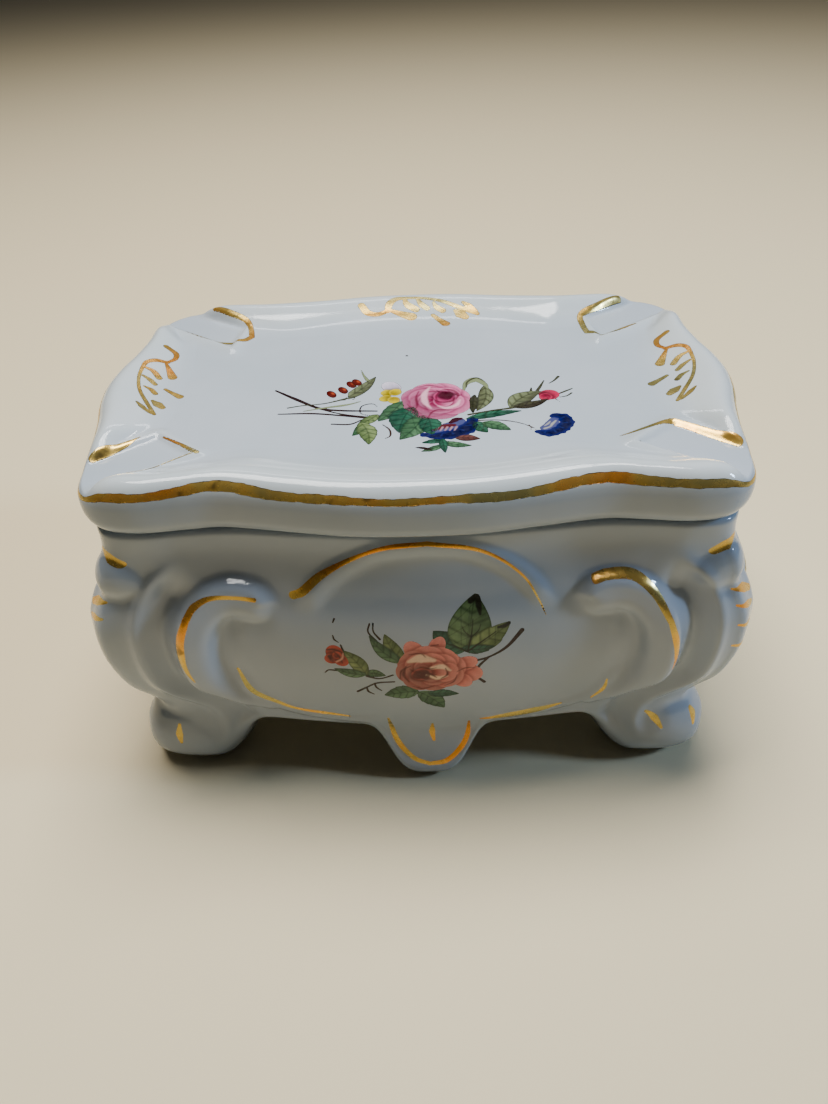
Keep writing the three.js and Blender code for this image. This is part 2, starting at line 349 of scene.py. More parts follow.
def corner_weight(plan):
    """1 on the corner of each foot, 0 away from it."""
    azimuth = np.degrees(np.arctan2(np.abs(plan[..., 1]), np.abs(plan[..., 0])))
    return bell(azimuth - CORNER_AZIMUTH, CORNER_SPREAD)


def lower_edge(plan):
    """Height of the wall's lower edge: the arched apron, down to the feet and the pendants."""
    x, y = np.abs(plan[..., 0]), np.abs(plan[..., 1])
    foot = smoothstep(30, 43.6, x) * smoothstep(12, 25, y)
    pendant = bell(from_panel(plan), PENDANT_HALF_WIDTH, 4.2) * (y > 20)
    return APRON_EDGE * (1 - foot) - (APRON_EDGE - PENDANT_TIP) * pendant


def wall_plan(t, z):
    """The plain outer wall: t is one parameter per column, z has one row of heights per column."""
    neck = outline_at(NECK_POINTS, t)[:, None]
    bulge = outline_at(BULGE_POINTS, t)[:, None]
    foot, corner = foot_weight(bulge), corner_weight(bulge)
    swell = knot_curve(FACE_SWELL, z) * (1 - foot) + knot_curve(FOOT_SWELL, z) * (foot - foot * corner)
    swell = swell + knot_curve(CORNER_SWELL, z) * foot * corner
    x, y = np.abs(bulge[..., 0]), np.abs(bulge[..., 1])
    beside_foot = smoothstep(8, 20, y) * smoothstep(50, 57, x) * (1 - corner)
    swell = swell - NOTCH_DEPTH * beside_foot * bell(z - NOTCH_HEIGHT, 4.5)
    plan = neck + (bulge - neck) * swell[..., None]
    on_pendant = bell(from_panel(bulge), 9, 4) * (y > 20)
    flare = PENDANT_FLARE * on_pendant * np.clip(1 - z / APRON_EDGE, 0, 1)
    plan[..., 1] += np.sign(plan[..., 1]) * flare
    return plan


def grid_normals(grid):
    """Unit normals of a closed turn of columns of points, by central differences."""
    across = np.roll(grid, -1, 0) - np.roll(grid, 1, 0)
    return unit(np.cross(across, np.gradient(grid, axis=1)))


def quarter_round(radius, degrees):
    """Offsets in from a wall and back from its end, at angles round its rounded edge."""
    angles = np.radians(degrees)
    return [(radius * (1 - math.cos(angle)), radius * (1 - math.sin(angle))) for angle in angles]


def base_columns(t):
    """The base's outside, underside and cavity: one closed column of points per parameter."""
    bulge = outline_at(BULGE_POINTS, t)
    neck = outline_at(NECK_POINTS, t)
    foot = foot_weight(bulge)
    rounding = APRON_ROUND + (FOOT_ROUND - APRON_ROUND) * foot
    land = APRON_LAND + (FOOT_LAND - APRON_LAND) * foot
    edge = lower_edge(bulge)
    low_wall = edge + rounding

    share = np.linspace(0, 1, WALL_ROWS)[None]
    wall_top = RIM_TOP - RIM_ROUND
    height = wall_top + (low_wall[:, None] - wall_top) * share
    outside = ring(wall_plan(t, height), height)
    lowest = outside[:, -1, :2]
    rolls = [ring(inset(lowest, inwards), edge + up)
             for inwards, up in quarter_round(rounding, np.linspace(9, 90, 10))]
    outside = np.concatenate([outside, np.stack(rolls, axis=1)], axis=1)
    normal = grid_normals(outside)
    outward = np.sign((normal[..., :2] * outside[..., :2]).sum(-1).mean())
    raised = base_relief(outside, t)
    under = smoothstep(edge[:, None], (edge + 1.6 * rounding)[:, None], outside[..., 2])
    outside = outside + outward * normal * (raised * under)[..., None]
    outside[..., 2] = np.maximum(outside[..., 2], edge[:, None])

    turn = rounding + land
    drop = 2.5 + 2.5 * foot
    inner = inset(lowest, turn + drop)
    underside = [ring(inset(lowest, turn + part * drop), edge + rise * (UNDERSIDE - edge))
                 for part, rise in ((0, 0), (0.25, 0.12), (0.5, 0.4), (0.75, 0.8))]
    underside += [ring(inner * scale, UNDERSIDE) for scale in (1, 0.92, 0.75, 0.5, 0.25, 0)]

    def cavity_wall(z, extra=0.0):
        plan = neck + (bulge - neck) * knot_curve(CAVITY_SWELL, np.array([float(z)]))[0]
        return ring(inset(plan, RIM_WIDTH + extra), z)

    floor_ring = inset(neck, RIM_WIDTH + 6.0)
    cavity = [ring(floor_ring * scale, CAVITY_FLOOR) for scale in (0, 0.25, 0.5, 0.75, 0.92, 1)]
    cavity += [cavity_wall(CAVITY_FLOOR + rise, extra)
               for rise, extra in ((0.4, 3.7), (1.2, 2.3), (2.6, 1.0), (4.2, 0.3))]
    cavity += [cavity_wall(z) for z in (26, 30, 34, 38, 42, 46, 50, 54, wall_top)]
    cavity += [cavity_wall(RIM_TOP - down, extra) for extra, down in quarter_round(RIM_ROUND, (30, 60, 90))]
    lip = [ring(inset(neck, inwards), RIM_TOP - down)
           for inwards, down in quarter_round(RIM_ROUND, (90, 60, 30))]
    return np.concatenate([np.stack(cavity + lip, axis=1), outside, np.stack(underside, axis=1)], axis=1)


def rest_frame(plan):
    """Plan points along and across the nearest corner rest, and their distance past its inner end."""
    x, y = np.abs(plan[..., 0]), np.abs(plan[..., 1])
    at_back = plan[..., 1] > 0
    end, skew, offset = (np.where(at_back, back, front)
                         for front, back in (REST_INNER_END, REST_SKEW, REST_OFFSET))
    along = x * math.cos(REST_ANGLE) + y * math.sin(REST_ANGLE)
    across = y * math.cos(REST_ANGLE) - x * math.sin(REST_ANGLE) - offset
    return along, across, end - skew * across - along


def cut_rests(plan, height, inward):
    """Cuts the corner rests, each with a soft lip, into the lid's top, inward mm from its edge."""
    along, across, beyond_end = rest_frame(plan)
    beyond_side = np.abs(across) - REST_HALF_WIDTH
    outside = np.hypot(np.maximum(beyond_side, 0), np.maximum(beyond_end, 0))
    inside = np.maximum(beyond_side, beyond_end)
    signed = np.where(inside > 0, outside, inside)
    lip = REST_FLOOR + REST_LIP * bell(np.maximum(signed, 0), 2.4)
    raised = (height + lip + np.hypot(height - lip, 0.15)) / 2
    height = height + (raised - height) * smoothstep(3, 4.5, inward)
    floor = np.minimum(height, REST_FLOOR - 0.25 * smoothstep(44, 58, along))
    cut = 1 - smoothstep(-1.0, 0.6, signed)
    return height + (floor - height) * cut


def waist_weight(plan, width):
    """1 where the long sides of the lid draw in."""
    return bell(np.abs(plan[..., 0]) - WAIST_X, width) * (np.abs(plan[..., 1]) > 30)


def rim_wave(t):
    """How far the rim dips, most where the rests leave it, and how near a rest each column is."""
    plan = outline_at(LID_POINTS, t)
    along, across, _ = rest_frame(plan)
    corner = bell(across, 6.5, 4) * (along > 50)
    return -0.35 * (1 - waist_weight(plan, 8)) - 1.7 * corner, corner


def waved(t, height, inward):
    """Heights on the lid's edge, lowered where the rim dips."""
    share = smoothstep(LID_WIDEST, LID_CREST, height) * (1 - smoothstep(7, 14, inward))
    return height + rim_wave(t)[0] * share


def lid_columns(t):
    """The lid's ceiling, flange, side, rim and dish: one closed column of points per parameter."""
    outline = outline_at(LID_POINTS, t)
    neck = outline_at(NECK_POINTS, t)
    profile = open_curve(RIM_PROFILE, 52)
    top = []
    for inward, height in profile:
        plan = inset(outline, inward)
        top.append(ring(plan, cut_rests(plan, waved(t, height, inward), inward)))
    dish_edge = plan
    for scale in np.concatenate([np.linspace(0.988, 0.74, 22), [0.68, 0.6, 0.5, 0.38, 0.25, 0.12, 0]]):
        plan = dish_edge * scale
        top.append(ring(plan, cut_rests(plan, DISH_FLOOR + 0.1 * scale, inward)))

    flange_outer = RIM_WIDTH + FLANGE_GAP
    flange_inner = flange_outer + FLANGE_WIDTH
    ceiling = inset(neck, flange_inner + 1.5)
    under = [ring(ceiling * scale, LID_CEILING) for scale in (0, 0.3, 0.6, 0.85, 1)]
    under += [ring(inset(neck, inward), z) for inward, z in (
        (flange_inner + 0.7, LID_CEILING - 0.3), (flange_inner + 0.3, LID_CEILING - 1.2),
        (flange_inner + 0.1, FLANGE_FOOT + 3), (flange_inner, FLANGE_FOOT + 0.8),
        (flange_inner - 0.25, FLANGE_FOOT + 0.2), (flange_inner - 0.8, FLANGE_FOOT),
        (flange_outer + 0.8, FLANGE_FOOT), (flange_outer + 0.25, FLANGE_FOOT + 0.2),
        (flange_outer, FLANGE_FOOT + 0.8), (flange_outer, LID_SEAT - 0.4), (flange_outer - 0.2, LID_SEAT),
    )]
    radius = 2.9 + 0.8 * rim_wave(t)[1]
    under += [ring(inset(outline, inward), LID_SEAT + up)
              for inward, up in quarter_round(radius, np.linspace(90, 0, 9))]
    under += [ring(outline, LID_SEAT + radius + f * (LID_WIDEST - LID_SEAT - radius)) for f in (0.33, 0.66)]
    return np.stack(under + top, axis=1)


# ---------------------------------------------------------------- meshes
def mesh_object(name, points, faces):
    """A smooth mesh; points are in millimetres."""
    mesh = bpy.data.meshes.new(name)
    mesh.from_pydata((points * MM).tolist(), [], faces)
    mesh.validate()
    mesh.polygons.foreach_set("use_smooth", [True] * len(mesh.polygons))
    thing = bpy.data.objects.new(name, mesh)
    bpy.context.collection.objects.link(thing)
    return thing


def column_faces(columns, rows):
    """Faces of a turn of columns whose first and last rows are the single points 0 and 1."""
    def index(i, j):
        return (i % columns) * (rows - 2) + j + 1

    i = np.arange(columns)
    quads = [np.stack([index(i, j), index(i, j + 1), index(i + 1, j + 1), index(i + 1, j)], axis=1)
             for j in range(1, rows - 2)]
    quads = np.concatenate(quads).tolist()
    first = [(0, int(index(k, 1)), int(index(k + 1, 1))) for k in range(columns)]
    last = [(1, int(index(k + 1, rows - 2)), int(index(k, rows - 2))) for k in range(columns)]
    return quads + first + last


def column_object(name, grid):
    """A closed mesh of a turn of columns; its first and last rows shrink to points."""
    points = np.vstack([grid[:, 0].mean(0), grid[:, -1].mean(0), grid[:, 1:-1].reshape(-1, 3)])
    return mesh_object(name, points, column_faces(*grid.shape[:2]))


# ---------------------------------------------------------------- marks laid on the glaze
CHART_REACH = 90.0  # charts look at the box from this far off
FILM_BASE = 0.004  # films start this far off the glaze
FILM_ROOT = 0.03  # their undersides go this far into it
WALL_FILM, TRAY_FILM = 0.06, 0.05  # and the gold stands this far off it


def rows_of_three(items, field, kind=float):
    """A mesh field of three numbers per item, as an array."""
    values = np.empty(len(items) * 3, kind)
    items.foreach_get(field, values)
    return values.reshape(-1, 3)


class Surface:
    """A porcelain mesh that gilding and enamel are laid on."""

    def __init__(self, thing):
        mesh = thing.data
        mesh.calc_loop_triangles()
        self.points = rows_of_three(mesh.vertices, "co") / MM
        self.normals = rows_of_three(mesh.vertex_normals, "vector")
        self.triangles = rows_of_three(mesh.loop_triangles, "vertices", int)
        self.tree = BVHTree.FromPolygons(self.points.tolist(), self.triangles.tolist())

    def lay(self, origins, directions):
        """Where rays meet the surface, its smooth normal there, and which rays met it."""
        places = origins.copy()
        index = np.full(len(origins), -1)
        for i, ray in enumerate(zip(origins.tolist(), directions.tolist())):
            place, _, triangle, _ = self.tree.ray_cast(*ray)
            if triangle is not None:
                places[i] = place
                index[i] = triangle
        corners = self.triangles[index]
        a, b, c = (self.points[corners[:, k]] for k in range(3))
        ab, ac, ap = b - a, c - a, places - a
        d00, d01, d11 = (ab * ab).sum(1), (ab * ac).sum(1), (ac * ac).sum(1)
        d20, d21 = (ap * ab).sum(1), (ap * ac).sum(1)
        area = np.maximum(d00 * d11 - d01 * d01, 1e-12)
        v = ((d11 * d20 - d01 * d21) / area)[:, None]
        w = ((d00 * d21 - d01 * d20) / area)[:, None]
        na, nb, nc = (self.normals[corners[:, k]] for k in range(3))
        return places, unit(na * (1 - v - w) + nb * v + nc * w), index >= 0


def facing(azimuth):
    """A chart seen square on from an azimuth: u to the right, v up. Azimuth 0 is the front."""
    angle = math.radians(azimuth)
    right = np.array([math.cos(angle), math.sin(angle), 0])
    towards = np.array([-math.sin(angle), math.cos(angle), 0])

    def chart(u, v):
        origins = u[:, None] * right + v[:, None] * [0, 0, 1] - CHART_REACH * towards
        return origins, np.broadcast_to(towards, origins.shape)
    return chart


def from_above(u, v):
    """A chart of the lid's top: u is x, v is y."""
    origins = np.stack([u, v, np.full_like(u, CHART_REACH)], axis=1)
    return origins, np.broadcast_to([0.0, 0.0, -1.0], origins.shape)


LID_TURN = np.linspace(0, TURN, TURN * 60 + 1)
LID_TURN_LENGTH = run_length(outline_at(LID_POINTS, LID_TURN))
RIM_CURVE = open_curve(RIM_PROFILE, 120)
RIM_CURVE_LENGTH = run_length(RIM_CURVE)


def round_the_rim(u, v):
    """A chart round the lid's edge: u along the outline, v up the edge from its widest line."""
    t = np.interp(u % LID_TURN_LENGTH[-1], LID_TURN_LENGTH, LID_TURN)
    outline = outline_at(LID_POINTS, t)
    distance, height = (np.interp(v, RIM_CURVE_LENGTH, RIM_CURVE[:, k]) for k in (0, 1))
    height = waved(t, height, distance)
    tip = np.radians(np.interp(v, (0, 3, 5, 7.5), (0, 12, 40, 80)))[:, None]
    towards = np.concatenate([-outwards(outline) * np.cos(tip), -np.sin(tip)], axis=1)
    return ring(inset(outline, distance), height) - 4 * towards, towards


class Painting:
    """A flat field that shapes are painted on, one over another, before it is laid on a surface."""

    def __init__(self, low, high, step=0.13):
        self.step = step
        self.u, self.v = np.meshgrid(np.arange(low[0], high[0] + step, step),
                                     np.arange(low[1], high[1] + step, step), indexing="ij")
        self.inside = np.full(self.u.shape, -1.0)
        self.colour = np.zeros(self.u.shape + (3,))

    def lay(self, inside, colour, soft=0.12):
        """Paints a shape; inside is how far each point is within its edge."""
        colour = np.broadcast_to(colour, self.colour.shape)
        under = np.where(self.inside[..., None] > 0, self.colour, colour)
        mask = smoothstep(-soft, soft, inside)[..., None]
        self.colour = under + (colour - under) * mask
        self.inside = np.maximum(self.inside, inside)

    def tint(self, inside, colour, strength=1.0, soft=0.15):
        """Tints what is already painted."""
        mask = strength * smoothstep(-soft, soft, inside)[..., None]
        self.colour = self.colour + (np.asarray(colour) - self.colour) * mask


def compacted(quads):
    """The points that quads use, the quads renumbered to them, and which points are on a border."""
    used, numbers = np.unique(quads, return_inverse=True)
    numbers = numbers.reshape(-1, 4)
    return used, numbers, np.bincount(numbers.ravel(), minlength=len(used)) < 4


def film(name, painting, chart, surface, material, body, height):
    """Makes a painting into a thin closed film on a surface, tapering to its edges."""
    p = painting
    middle = (p.inside[:-1, :-1] + p.inside[1:, :-1] + p.inside[:-1, 1:] + p.inside[1:, 1:]) / 4
    cells = np.argwhere(middle > 0)
    row = p.u.shape[1]
    corner = cells[:, 0] * row + cells[:, 1]
    used, quads, border = compacted(np.stack([corner, corner + row, corner + row + 1, corner + 1], axis=1))

    # Border points slide down the field's slope onto the painted edge.
    inside = p.inside.ravel()[used]
    slope_u, slope_v = (slope.ravel()[used] for slope in np.gradient(p.inside, p.step))
    move = np.where(border, -inside, 0) / np.maximum(slope_u**2 + slope_v**2, 0.05)
    limit = 0.6 * p.step
    u = p.u.ravel()[used] + np.clip(move * slope_u, -limit, limit)
    v = p.v.ravel()[used] + np.clip(move * slope_v, -limit, limit)
    places, normals, met = surface.lay(*chart(u, v))

    kept, quads, border = compacted(quads[met[quads].all(1)])
    places, normals, inside = places[kept], normals[kept], inside[kept]
    rise = np.where(border, 0, 0.35 + 0.65 * smoothstep(0, 2.5 * p.step, inside))[:, None]
    top = places + normals * (rise * height + FILM_BASE)
    under = places - normals * FILM_ROOT * rise
    across = np.cross(top[quads[:, 2]] - top[quads[:, 0]], top[quads[:, 3]] - top[quads[:, 1]])
    if (across * normals[quads[:, 0]]).sum() < 0:
        quads = quads[:, ::-1]
    # The underside shares the border's points, which closes the film.
    lower = np.where(border, np.arange(len(top)), len(top) + np.cumsum(~border) - 1)
    faces = quads.tolist() + lower[quads][:, ::-1].tolist()
    thing = mesh_object(name, np.vstack([top, under[~border]]), faces)
    colours = p.colour.reshape(-1, 3)[used[kept]]
    colours = np.concatenate([colours, np.ones((len(colours), 1))], axis=1)
    attribute = thing.data.color_attributes.new("paint", "FLOAT_COLOR", "POINT")
    attribute.data.foreach_set("color", np.vstack([colours, colours[~border]]).ravel())
    thing.data.normals_split_custom_set_from_vertices(np.vstack([normals, -normals[~border]]).tolist())
    thing.data.materials.append(material)
    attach(thing, body)


# ---------------------------------------------------------------- brush shapes
LEAF_RIBS = 5


def pigment(red, green, blue):
    """A paint colour from screen values, deepened to hold its strength under bright light."""
    c = np.array([red, green, blue]) / 255
    return np.where(c <= 0.04045, c / 12.92, ((c + 0.055) / 1.055) ** 2.4) ** 1.3


def ellipse_shape(p, centre, size, angle):
    """How far each point is within an ellipse, and where it is along and across it."""
    turn = math.radians(angle)
    x, y = p.u - centre[0], p.v - centre[1]
    along = (x * math.cos(turn) + y * math.sin(turn)) / size[0]
    across = (y * math.cos(turn) - x * math.sin(turn)) / size[1]
    return (1 - np.hypot(along, across)) * min(size), along, across


def leaf_shape(p, base, tip, width, bend, teeth):
    """How far each point is within a leaf, its share of the way to the tip, and how far off the midrib."""
    base, tip = np.array(base, float), np.array(tip, float)
    axis = tip - base
    length = np.hypot(*axis)
    axis /= length
    x, y = p.u - base[0], p.v - base[1]
    s = (x * axis[0] + y * axis[1]) / length
    n = y * axis[0] - x * axis[1] - 4 * bend * s * (1 - s)
    inner = np.clip(s, 0.001, 0.999)
    half = width / 2 * np.sin(math.pi * inner**0.8) ** 0.85
    if teeth:
        half = half * (1 + 0.1 * (inner * teeth % 1) - 0.06)
    outside = np.maximum(-s, s - 1) * length
    return np.where(outside > 0, -outside - 0.1, half - np.abs(n)), s, n


def stroke_shape(p, points, widths):
    """A brush stroke: half-widths are spread evenly along the path."""
    path = open_curve(points, 90)
    distance, along, _ = path_distance(p.u, p.v, path, reach=4)
    half = np.interp(along, np.linspace(0, 1, len(widths)), widths)
    return half - distance


def paint_stroke(p, points, widths, colour):
    """One brush stroke of one colour."""
    p.lay(stroke_shape(p, points, widths), colour)


def tint_strokes(p, colour, strength, soft, strokes):
    """Brush strokes of one colour that tint what they cross."""
    for points, widths in strokes:
        p.tint(stroke_shape(p, points, widths), colour, strength, soft)


def paint_leaf(p, base, tip, width, tones, bend, teeth=0):
    """A leaf, lighter on one side of its midrib, with a dark outline and ribs."""
    light, dark = tones
    inside, s, n = leaf_shape(p, base, tip, width, bend, teeth)
    side = smoothstep(-0.35, 0.35, n / width)[..., None]
    brush = (0.5 + 0.5 * np.sin(p.u * 2.1 + p.v * 1.3) * np.sin(p.v * 2.7 - p.u * 0.9))[..., None]
    tone = np.clip(0.25 + 0.5 * side + 0.3 * brush - 0.25 * s[..., None], 0, 1)
    p.lay(inside, dark + (light - dark) * tone)
    painted = smoothstep(0, 0.15, inside)
    p.tint(0.22 - np.abs(inside), dark * 0.55, 0.55)
    p.tint(np.where(painted > 0, 0.1 - np.abs(n), -1), dark * 0.5, 0.7)
    slant = (s * LEAF_RIBS - np.abs(n) / width * 1.6) % 1
    rib = np.where((painted > 0) & (s > 0.08) & (s < 0.9), 0.06 - np.abs(slant - 0.5) * 0.5, -1)
    p.tint(rib, dark * 0.6, 0.6, soft=0.05)


def paint_petal(p, centre, size, angle, light, deep):
    """One rounded petal, light at its outer edge, that shades what lies under it."""
    inside, along, across = ellipse_shape(p, centre, size, angle)
    p.tint(inside + 0.4, deep * 0.6, 0.55, soft=0.4)
    streak = 0.08 * np.sin(across * 9 + along * 2)
    tone = smoothstep(-0.75, 0.95, along + streak)[..., None]
    p.lay(inside, deep + (light - deep) * tone)
    p.tint(np.where(inside > -0.05, 0.16 - np.abs(inside - 0.14), -1), light * 1.12, 0.55, soft=0.1)


def paint_rose(p, centre, size, turn, eye, light, middle, deep, heart):
    """A full-blown rose: two rings of open petals, a cup of close ones and a dark heart at the eye."""
    centre, size, eye = (np.array(pair, float) for pair in (centre, size, eye))
    reach = size.mean()
    for level, (count, out, petal, low) in enumerate(((8, 0.62, 0.42, middle), (7, 0.42, 0.36, middle),
                                                      (5, 0.24, 0.28, deep))):
        for k in range(count):
            angle = turn + 360 * k / count + 25 * level
            direction = np.array([math.cos(math.radians(angle)), math.sin(math.radians(angle))])
            place = centre + direction * size * out * (1 + 0.12 * math.sin(3.1 * k + 2 * level))
            tone = 0.75 + 0.25 * math.sin(math.radians(angle + 40))
            paint_petal(p, place, (petal * reach, petal * reach * 1.2), angle,
                        light * tone, low * (0.85 + 0.15 * tone))
    paint_petal(p, centre + size * eye * 0.8, (0.3 * size[0], 0.28 * size[1]), 200, middle, heart)
    inside, _, _ = ellipse_shape(p, centre + size * eye, (0.26 * size[0], 0.2 * size[1]), 20)
    p.tint(inside, heart, 0.9, soft=0.35)
    for k in range(5):
        start = centre + size * eye + size * [0.13 * (k - 2), 0.3 - 0.05 * k]
        bend = start + size * [0.12, -0.14]
        p.tint(stroke_shape(p, [start, bend, bend + size * [0.1, 0.06]], (0.08, 0.2, 0.06)), heart, 0.7)


def specked(p):
    """Gives a painting small uneven touches of the brush."""
    grain = np.sin(p.u * 7.3 + 3 * np.sin(p.v * 2.9)) * np.sin(p.v * 6.1 + 2 * np.sin(p.u * 3.7))
    p.colour = np.clip(p.colour * (1 + 0.06 * grain[..., None]), 0, 1)
    return p


# ---------------------------------------------------------------- the sprays
# Leaf colours are pairs, light and dark.
GREEN = pigment(134, 168, 134), pigment(66, 104, 78)
BLUISH = pigment(96, 148, 124), pigment(44, 92, 76)
YELLOWISH = pigment(172, 186, 140), pigment(98, 120, 78)
PALE = pigment(150, 174, 134), pigment(84, 116, 84)
OLIVE, OLIVE_DARK = OLIVES = pigment(162, 170, 138), pigment(100, 100, 78)
STEM_BROWN = pigment(74, 46, 46)
TWIG_BROWN = pigment(98, 70, 58)
BERRY = pigment(132, 50, 34)
BUD_PINK = pigment(214, 96, 124)
NIGHT_BLUE, INK_BLUE = pigment(38, 54, 132), pigment(18, 24, 78)


def lid_spray_stems():
    p = Painting((-27, -20), (29, 7))
    for stroke in (
        ([(-25.6, -1.4), (-21, -5.2), (-17, -8.2), (-13, -9.3), (-6.5, -9.8)],
         (0.24, 0.42, 0.34, 0.3, 0.2), STEM_BROWN),
        ([(-24, -10), (-18, -10.1), (-13, -11), (-8, -12.2)], (0.18, 0.28, 0.26, 0.2), STEM_BROWN),
        ([(-17.5, -8.2), (-12.5, -10.6), (-7, -12)], (0.16, 0.2, 0.14), STEM_BROWN),
        ([(-14.2, -13.9), (-11, -14.1), (-8.8, -12.6), (-5.5, -11)], (0.2, 0.22, 0.14, 0.12), STEM_BROWN),
        ([(-22.6, -7.9), (-20, -7.2), (-16, -6.6), (-12.2, -5)], (0.2, 0.16, 0.18, 0.3), OLIVE_DARK),
        ([(-19.6, -9.2), (-16, -8.2), (-12, -7.3), (-9.6, -6.2)], (0.14, 0.25, 0.35, 0.12), OLIVE),
        ([(-6.4, -11.6), (-9.2, -10.6), (-9.3, -8), (-7.4, -7.2), (-6.2, -8.8)],
         (0.12, 0.14, 0.14, 0.14, 0.1), STEM_BROWN),
        ([(-5.4, -14.4), (-4.1, -16.2), (-3.9, -18.2), (-4.8, -19.1)], (0.12, 0.18, 0.2, 0.1), TWIG_BROWN),
        ([(9.6, -11.9), (13.5, -10.7), (17, -10), (19.5, -8.8)], (0.3, 0.2, 0.3, 0.5), OLIVE_DARK),
        ([(10, -14.1), (14, -13.9), (17.6, -14.8), (20.2, -16.6), (20.8, -17.6)],
         (0.22, 0.14, 0.16, 0.14, 0.1), TWIG_BROWN),
        ([(19.6, -15.6), (20, -16.8), (19.8, -17.6)], (0.1, 0.14, 0.08), TWIG_BROWN),
        ([(9, -3.4), (9.7, -0.4), (11.5, 0.8), (13, -1), (13.4, -2.8)], (0.2, 0.5, 0.95, 0.6, 0.3), OLIVE),
        ([(9.6, -2), (9.9, 0), (11.6, 1.5), (13.1, 0)], (0.12, 0.2, 0.24, 0.1), OLIVE_DARK),
        ([(-10.2, 6), (-9.6, 3.8), (-8.8, 1.8)], (0.1, 0.22, 0.4), OLIVE),
    ):
        paint_stroke(p, *stroke)
    for x, y in ((-15.1, -3.3), (-13.1, -1.9), (-11.7, 0.2), (-10.7, 1)):
        inside = ellipse_shape(p, (x, y), (1.45, 0.82), 118)[0]
        p.lay(inside, BERRY)
        p.tint(0.2 - np.abs(inside), BERRY * 0.35, 0.7)
        p.tint(ellipse_shape(p, (x + 0.25, y + 0.25), (0.5, 0.28), 118)[0], pigment(208, 120, 84), 0.7)
        stalk = [(x - 0.4, y - 1.2), (x + 0.4, y - 2.4), (-10.8, -5.4)]
        paint_stroke(p, stalk, (0.09, 0.07, 0.07), OLIVE_DARK)
    return p


def lid_spray_leaves():
    p = Painting((-12, -25), (20, 4))
    for leaf in (
        ((-13, -5.6), (-7.2, 3.2), 2.7, OLIVES, -0.6),
        ((-6.2, -11), (-9.8, -14.6), 2.4, YELLOWISH, 0.2),
        ((-8.6, -13.6), (-10.4, -18), 2.3, GREEN, 0.5),
        ((-9.2, -13.6), (-7.4, -20.9), 3.4, YELLOWISH, 0.6, 6),
        ((-2, -6.5), (-6.2, -13.4), 3.6, GREEN, 0.4, 5),
        ((0, -8.5), (-2.4, -17.4), 5.4, BLUISH, -0.6, 6),
        ((1.8, -11.5), (-2.3, -19.6), 4.6, GREEN, 0.6, 6),
        ((2.4, -12.2), (3, -18.6), 4, BLUISH, 0.3, 5),
        ((12.9, -1.6), (11, -10.8), 2.9, OLIVES, 0.9),
        ((11, -4.8), (10.4, -11.6), 1.7, (OLIVE_DARK, OLIVE_DARK * 0.6), -0.2),
        ((9, -13.4), (19.1, -11), 2.3, BLUISH, 0.35, 6),
        ((10.4, -14.2), (12.6, -18), 2.8, (BLUISH[0], GREEN[1]), -0.2, 4),
        ((11.8, -14.6), (16.6, -17.4), 2.8, GREEN, 0.2, 4),
        ((5.3, -20), (1.3, -20.7), 1.5, BLUISH, 0, 3),
        ((6.9, -19.2), (11.3, -19.9), 2.2, (pigment(158, 112, 104), pigment(98, 58, 56)), 0.1),
        ((4.8, -20.6), (9.8, -21.9), 1.8, GREEN, -0.3, 5),
        ((5.2, -21.4), (1.2, -23.4), 1.5, GREEN, 0.2, 4),
        ((4.8, -19.2), (5.3, -24.1), 1.5, BLUISH, 0, 4),
        ((3, -22.9), (0.1, -22.1), 0.7, (TWIG_BROWN, STEM_BROWN), -0.2),
    ):
        paint_leaf(p, *leaf)
    return p


def lid_spray_rose():
    p = Painting((-6.5, -14.5), (11, 1.5))
    paint_petal(p, (-4.2, -1.2), (2.3, 1.7), 120, pigment(226, 220, 230), pigment(196, 188, 204))
    for x, y, angle in ((-4.9, -3.4, 150), (-3.4, -3.2, 60), (-5.1, -5.4, 210), (-3.6, -6, 280)):
        paint_petal(p, (x, y), (1.25, 1.15), angle, pigment(222, 206, 92), pigment(176, 158, 56))
    light, middle = pigment(232, 160, 190), pigment(204, 108, 148)
    deep, heart = pigment(176, 66, 112), pigment(104, 10, 56)
    paint_rose(p, (3.9, -6.7), (6.1, 6.7), 20, (0.3, 0.28), light, middle, deep, heart)
    tint_strokes(p, pigment(246, 206, 216), 0.85, 0.25, (
        ([(2.9, -1.6), (1.9, -4.4), (2.1, -7.4), (3.1, -9.4)], (0.1, 0.55, 0.6, 0.1)),
        ([(4.3, -8.6), (5.8, -9.4), (7.6, -8.4), (8.3, -6.6)], (0.1, 0.4, 0.4, 0.1)),
    ))
    tint_strokes(p, pigment(138, 34, 76), 0.75, 0.15, (
        ([(4.6, -3.4), (4, -5.4), (4.4, -7.2)], (0.08, 0.2, 0.08)),
        ([(5.2, -2.6), (7, -3), (8, -4.6), (7.6, -6.4)], (0.1, 0.34, 0.3, 0.1)),
        ([(5.4, -7.4), (6.8, -7), (7.4, -5.8)], (0.1, 0.3, 0.1)),
        ([(-1.2, -7.6), (-0.2, -9.6), (1.4, -11.2)], (0.06, 0.16, 0.06)),
        ([(1, -1.4), (2.6, -0.9), (4.4, -1.4)], (0.06, 0.2, 0.08)),
        ([(2.6, -12.4), (3.2, -10.8), (4.4, -9.9), (6.2, -10.2)], (0.1, 0.2, 0.2, 0.08)),
        ([(-0.4, -10.4), (0.6, -8.6), (0.4, -5.4), (0.9, -3)], (0.08, 0.2, 0.18, 0.08)),
    ))
    return p


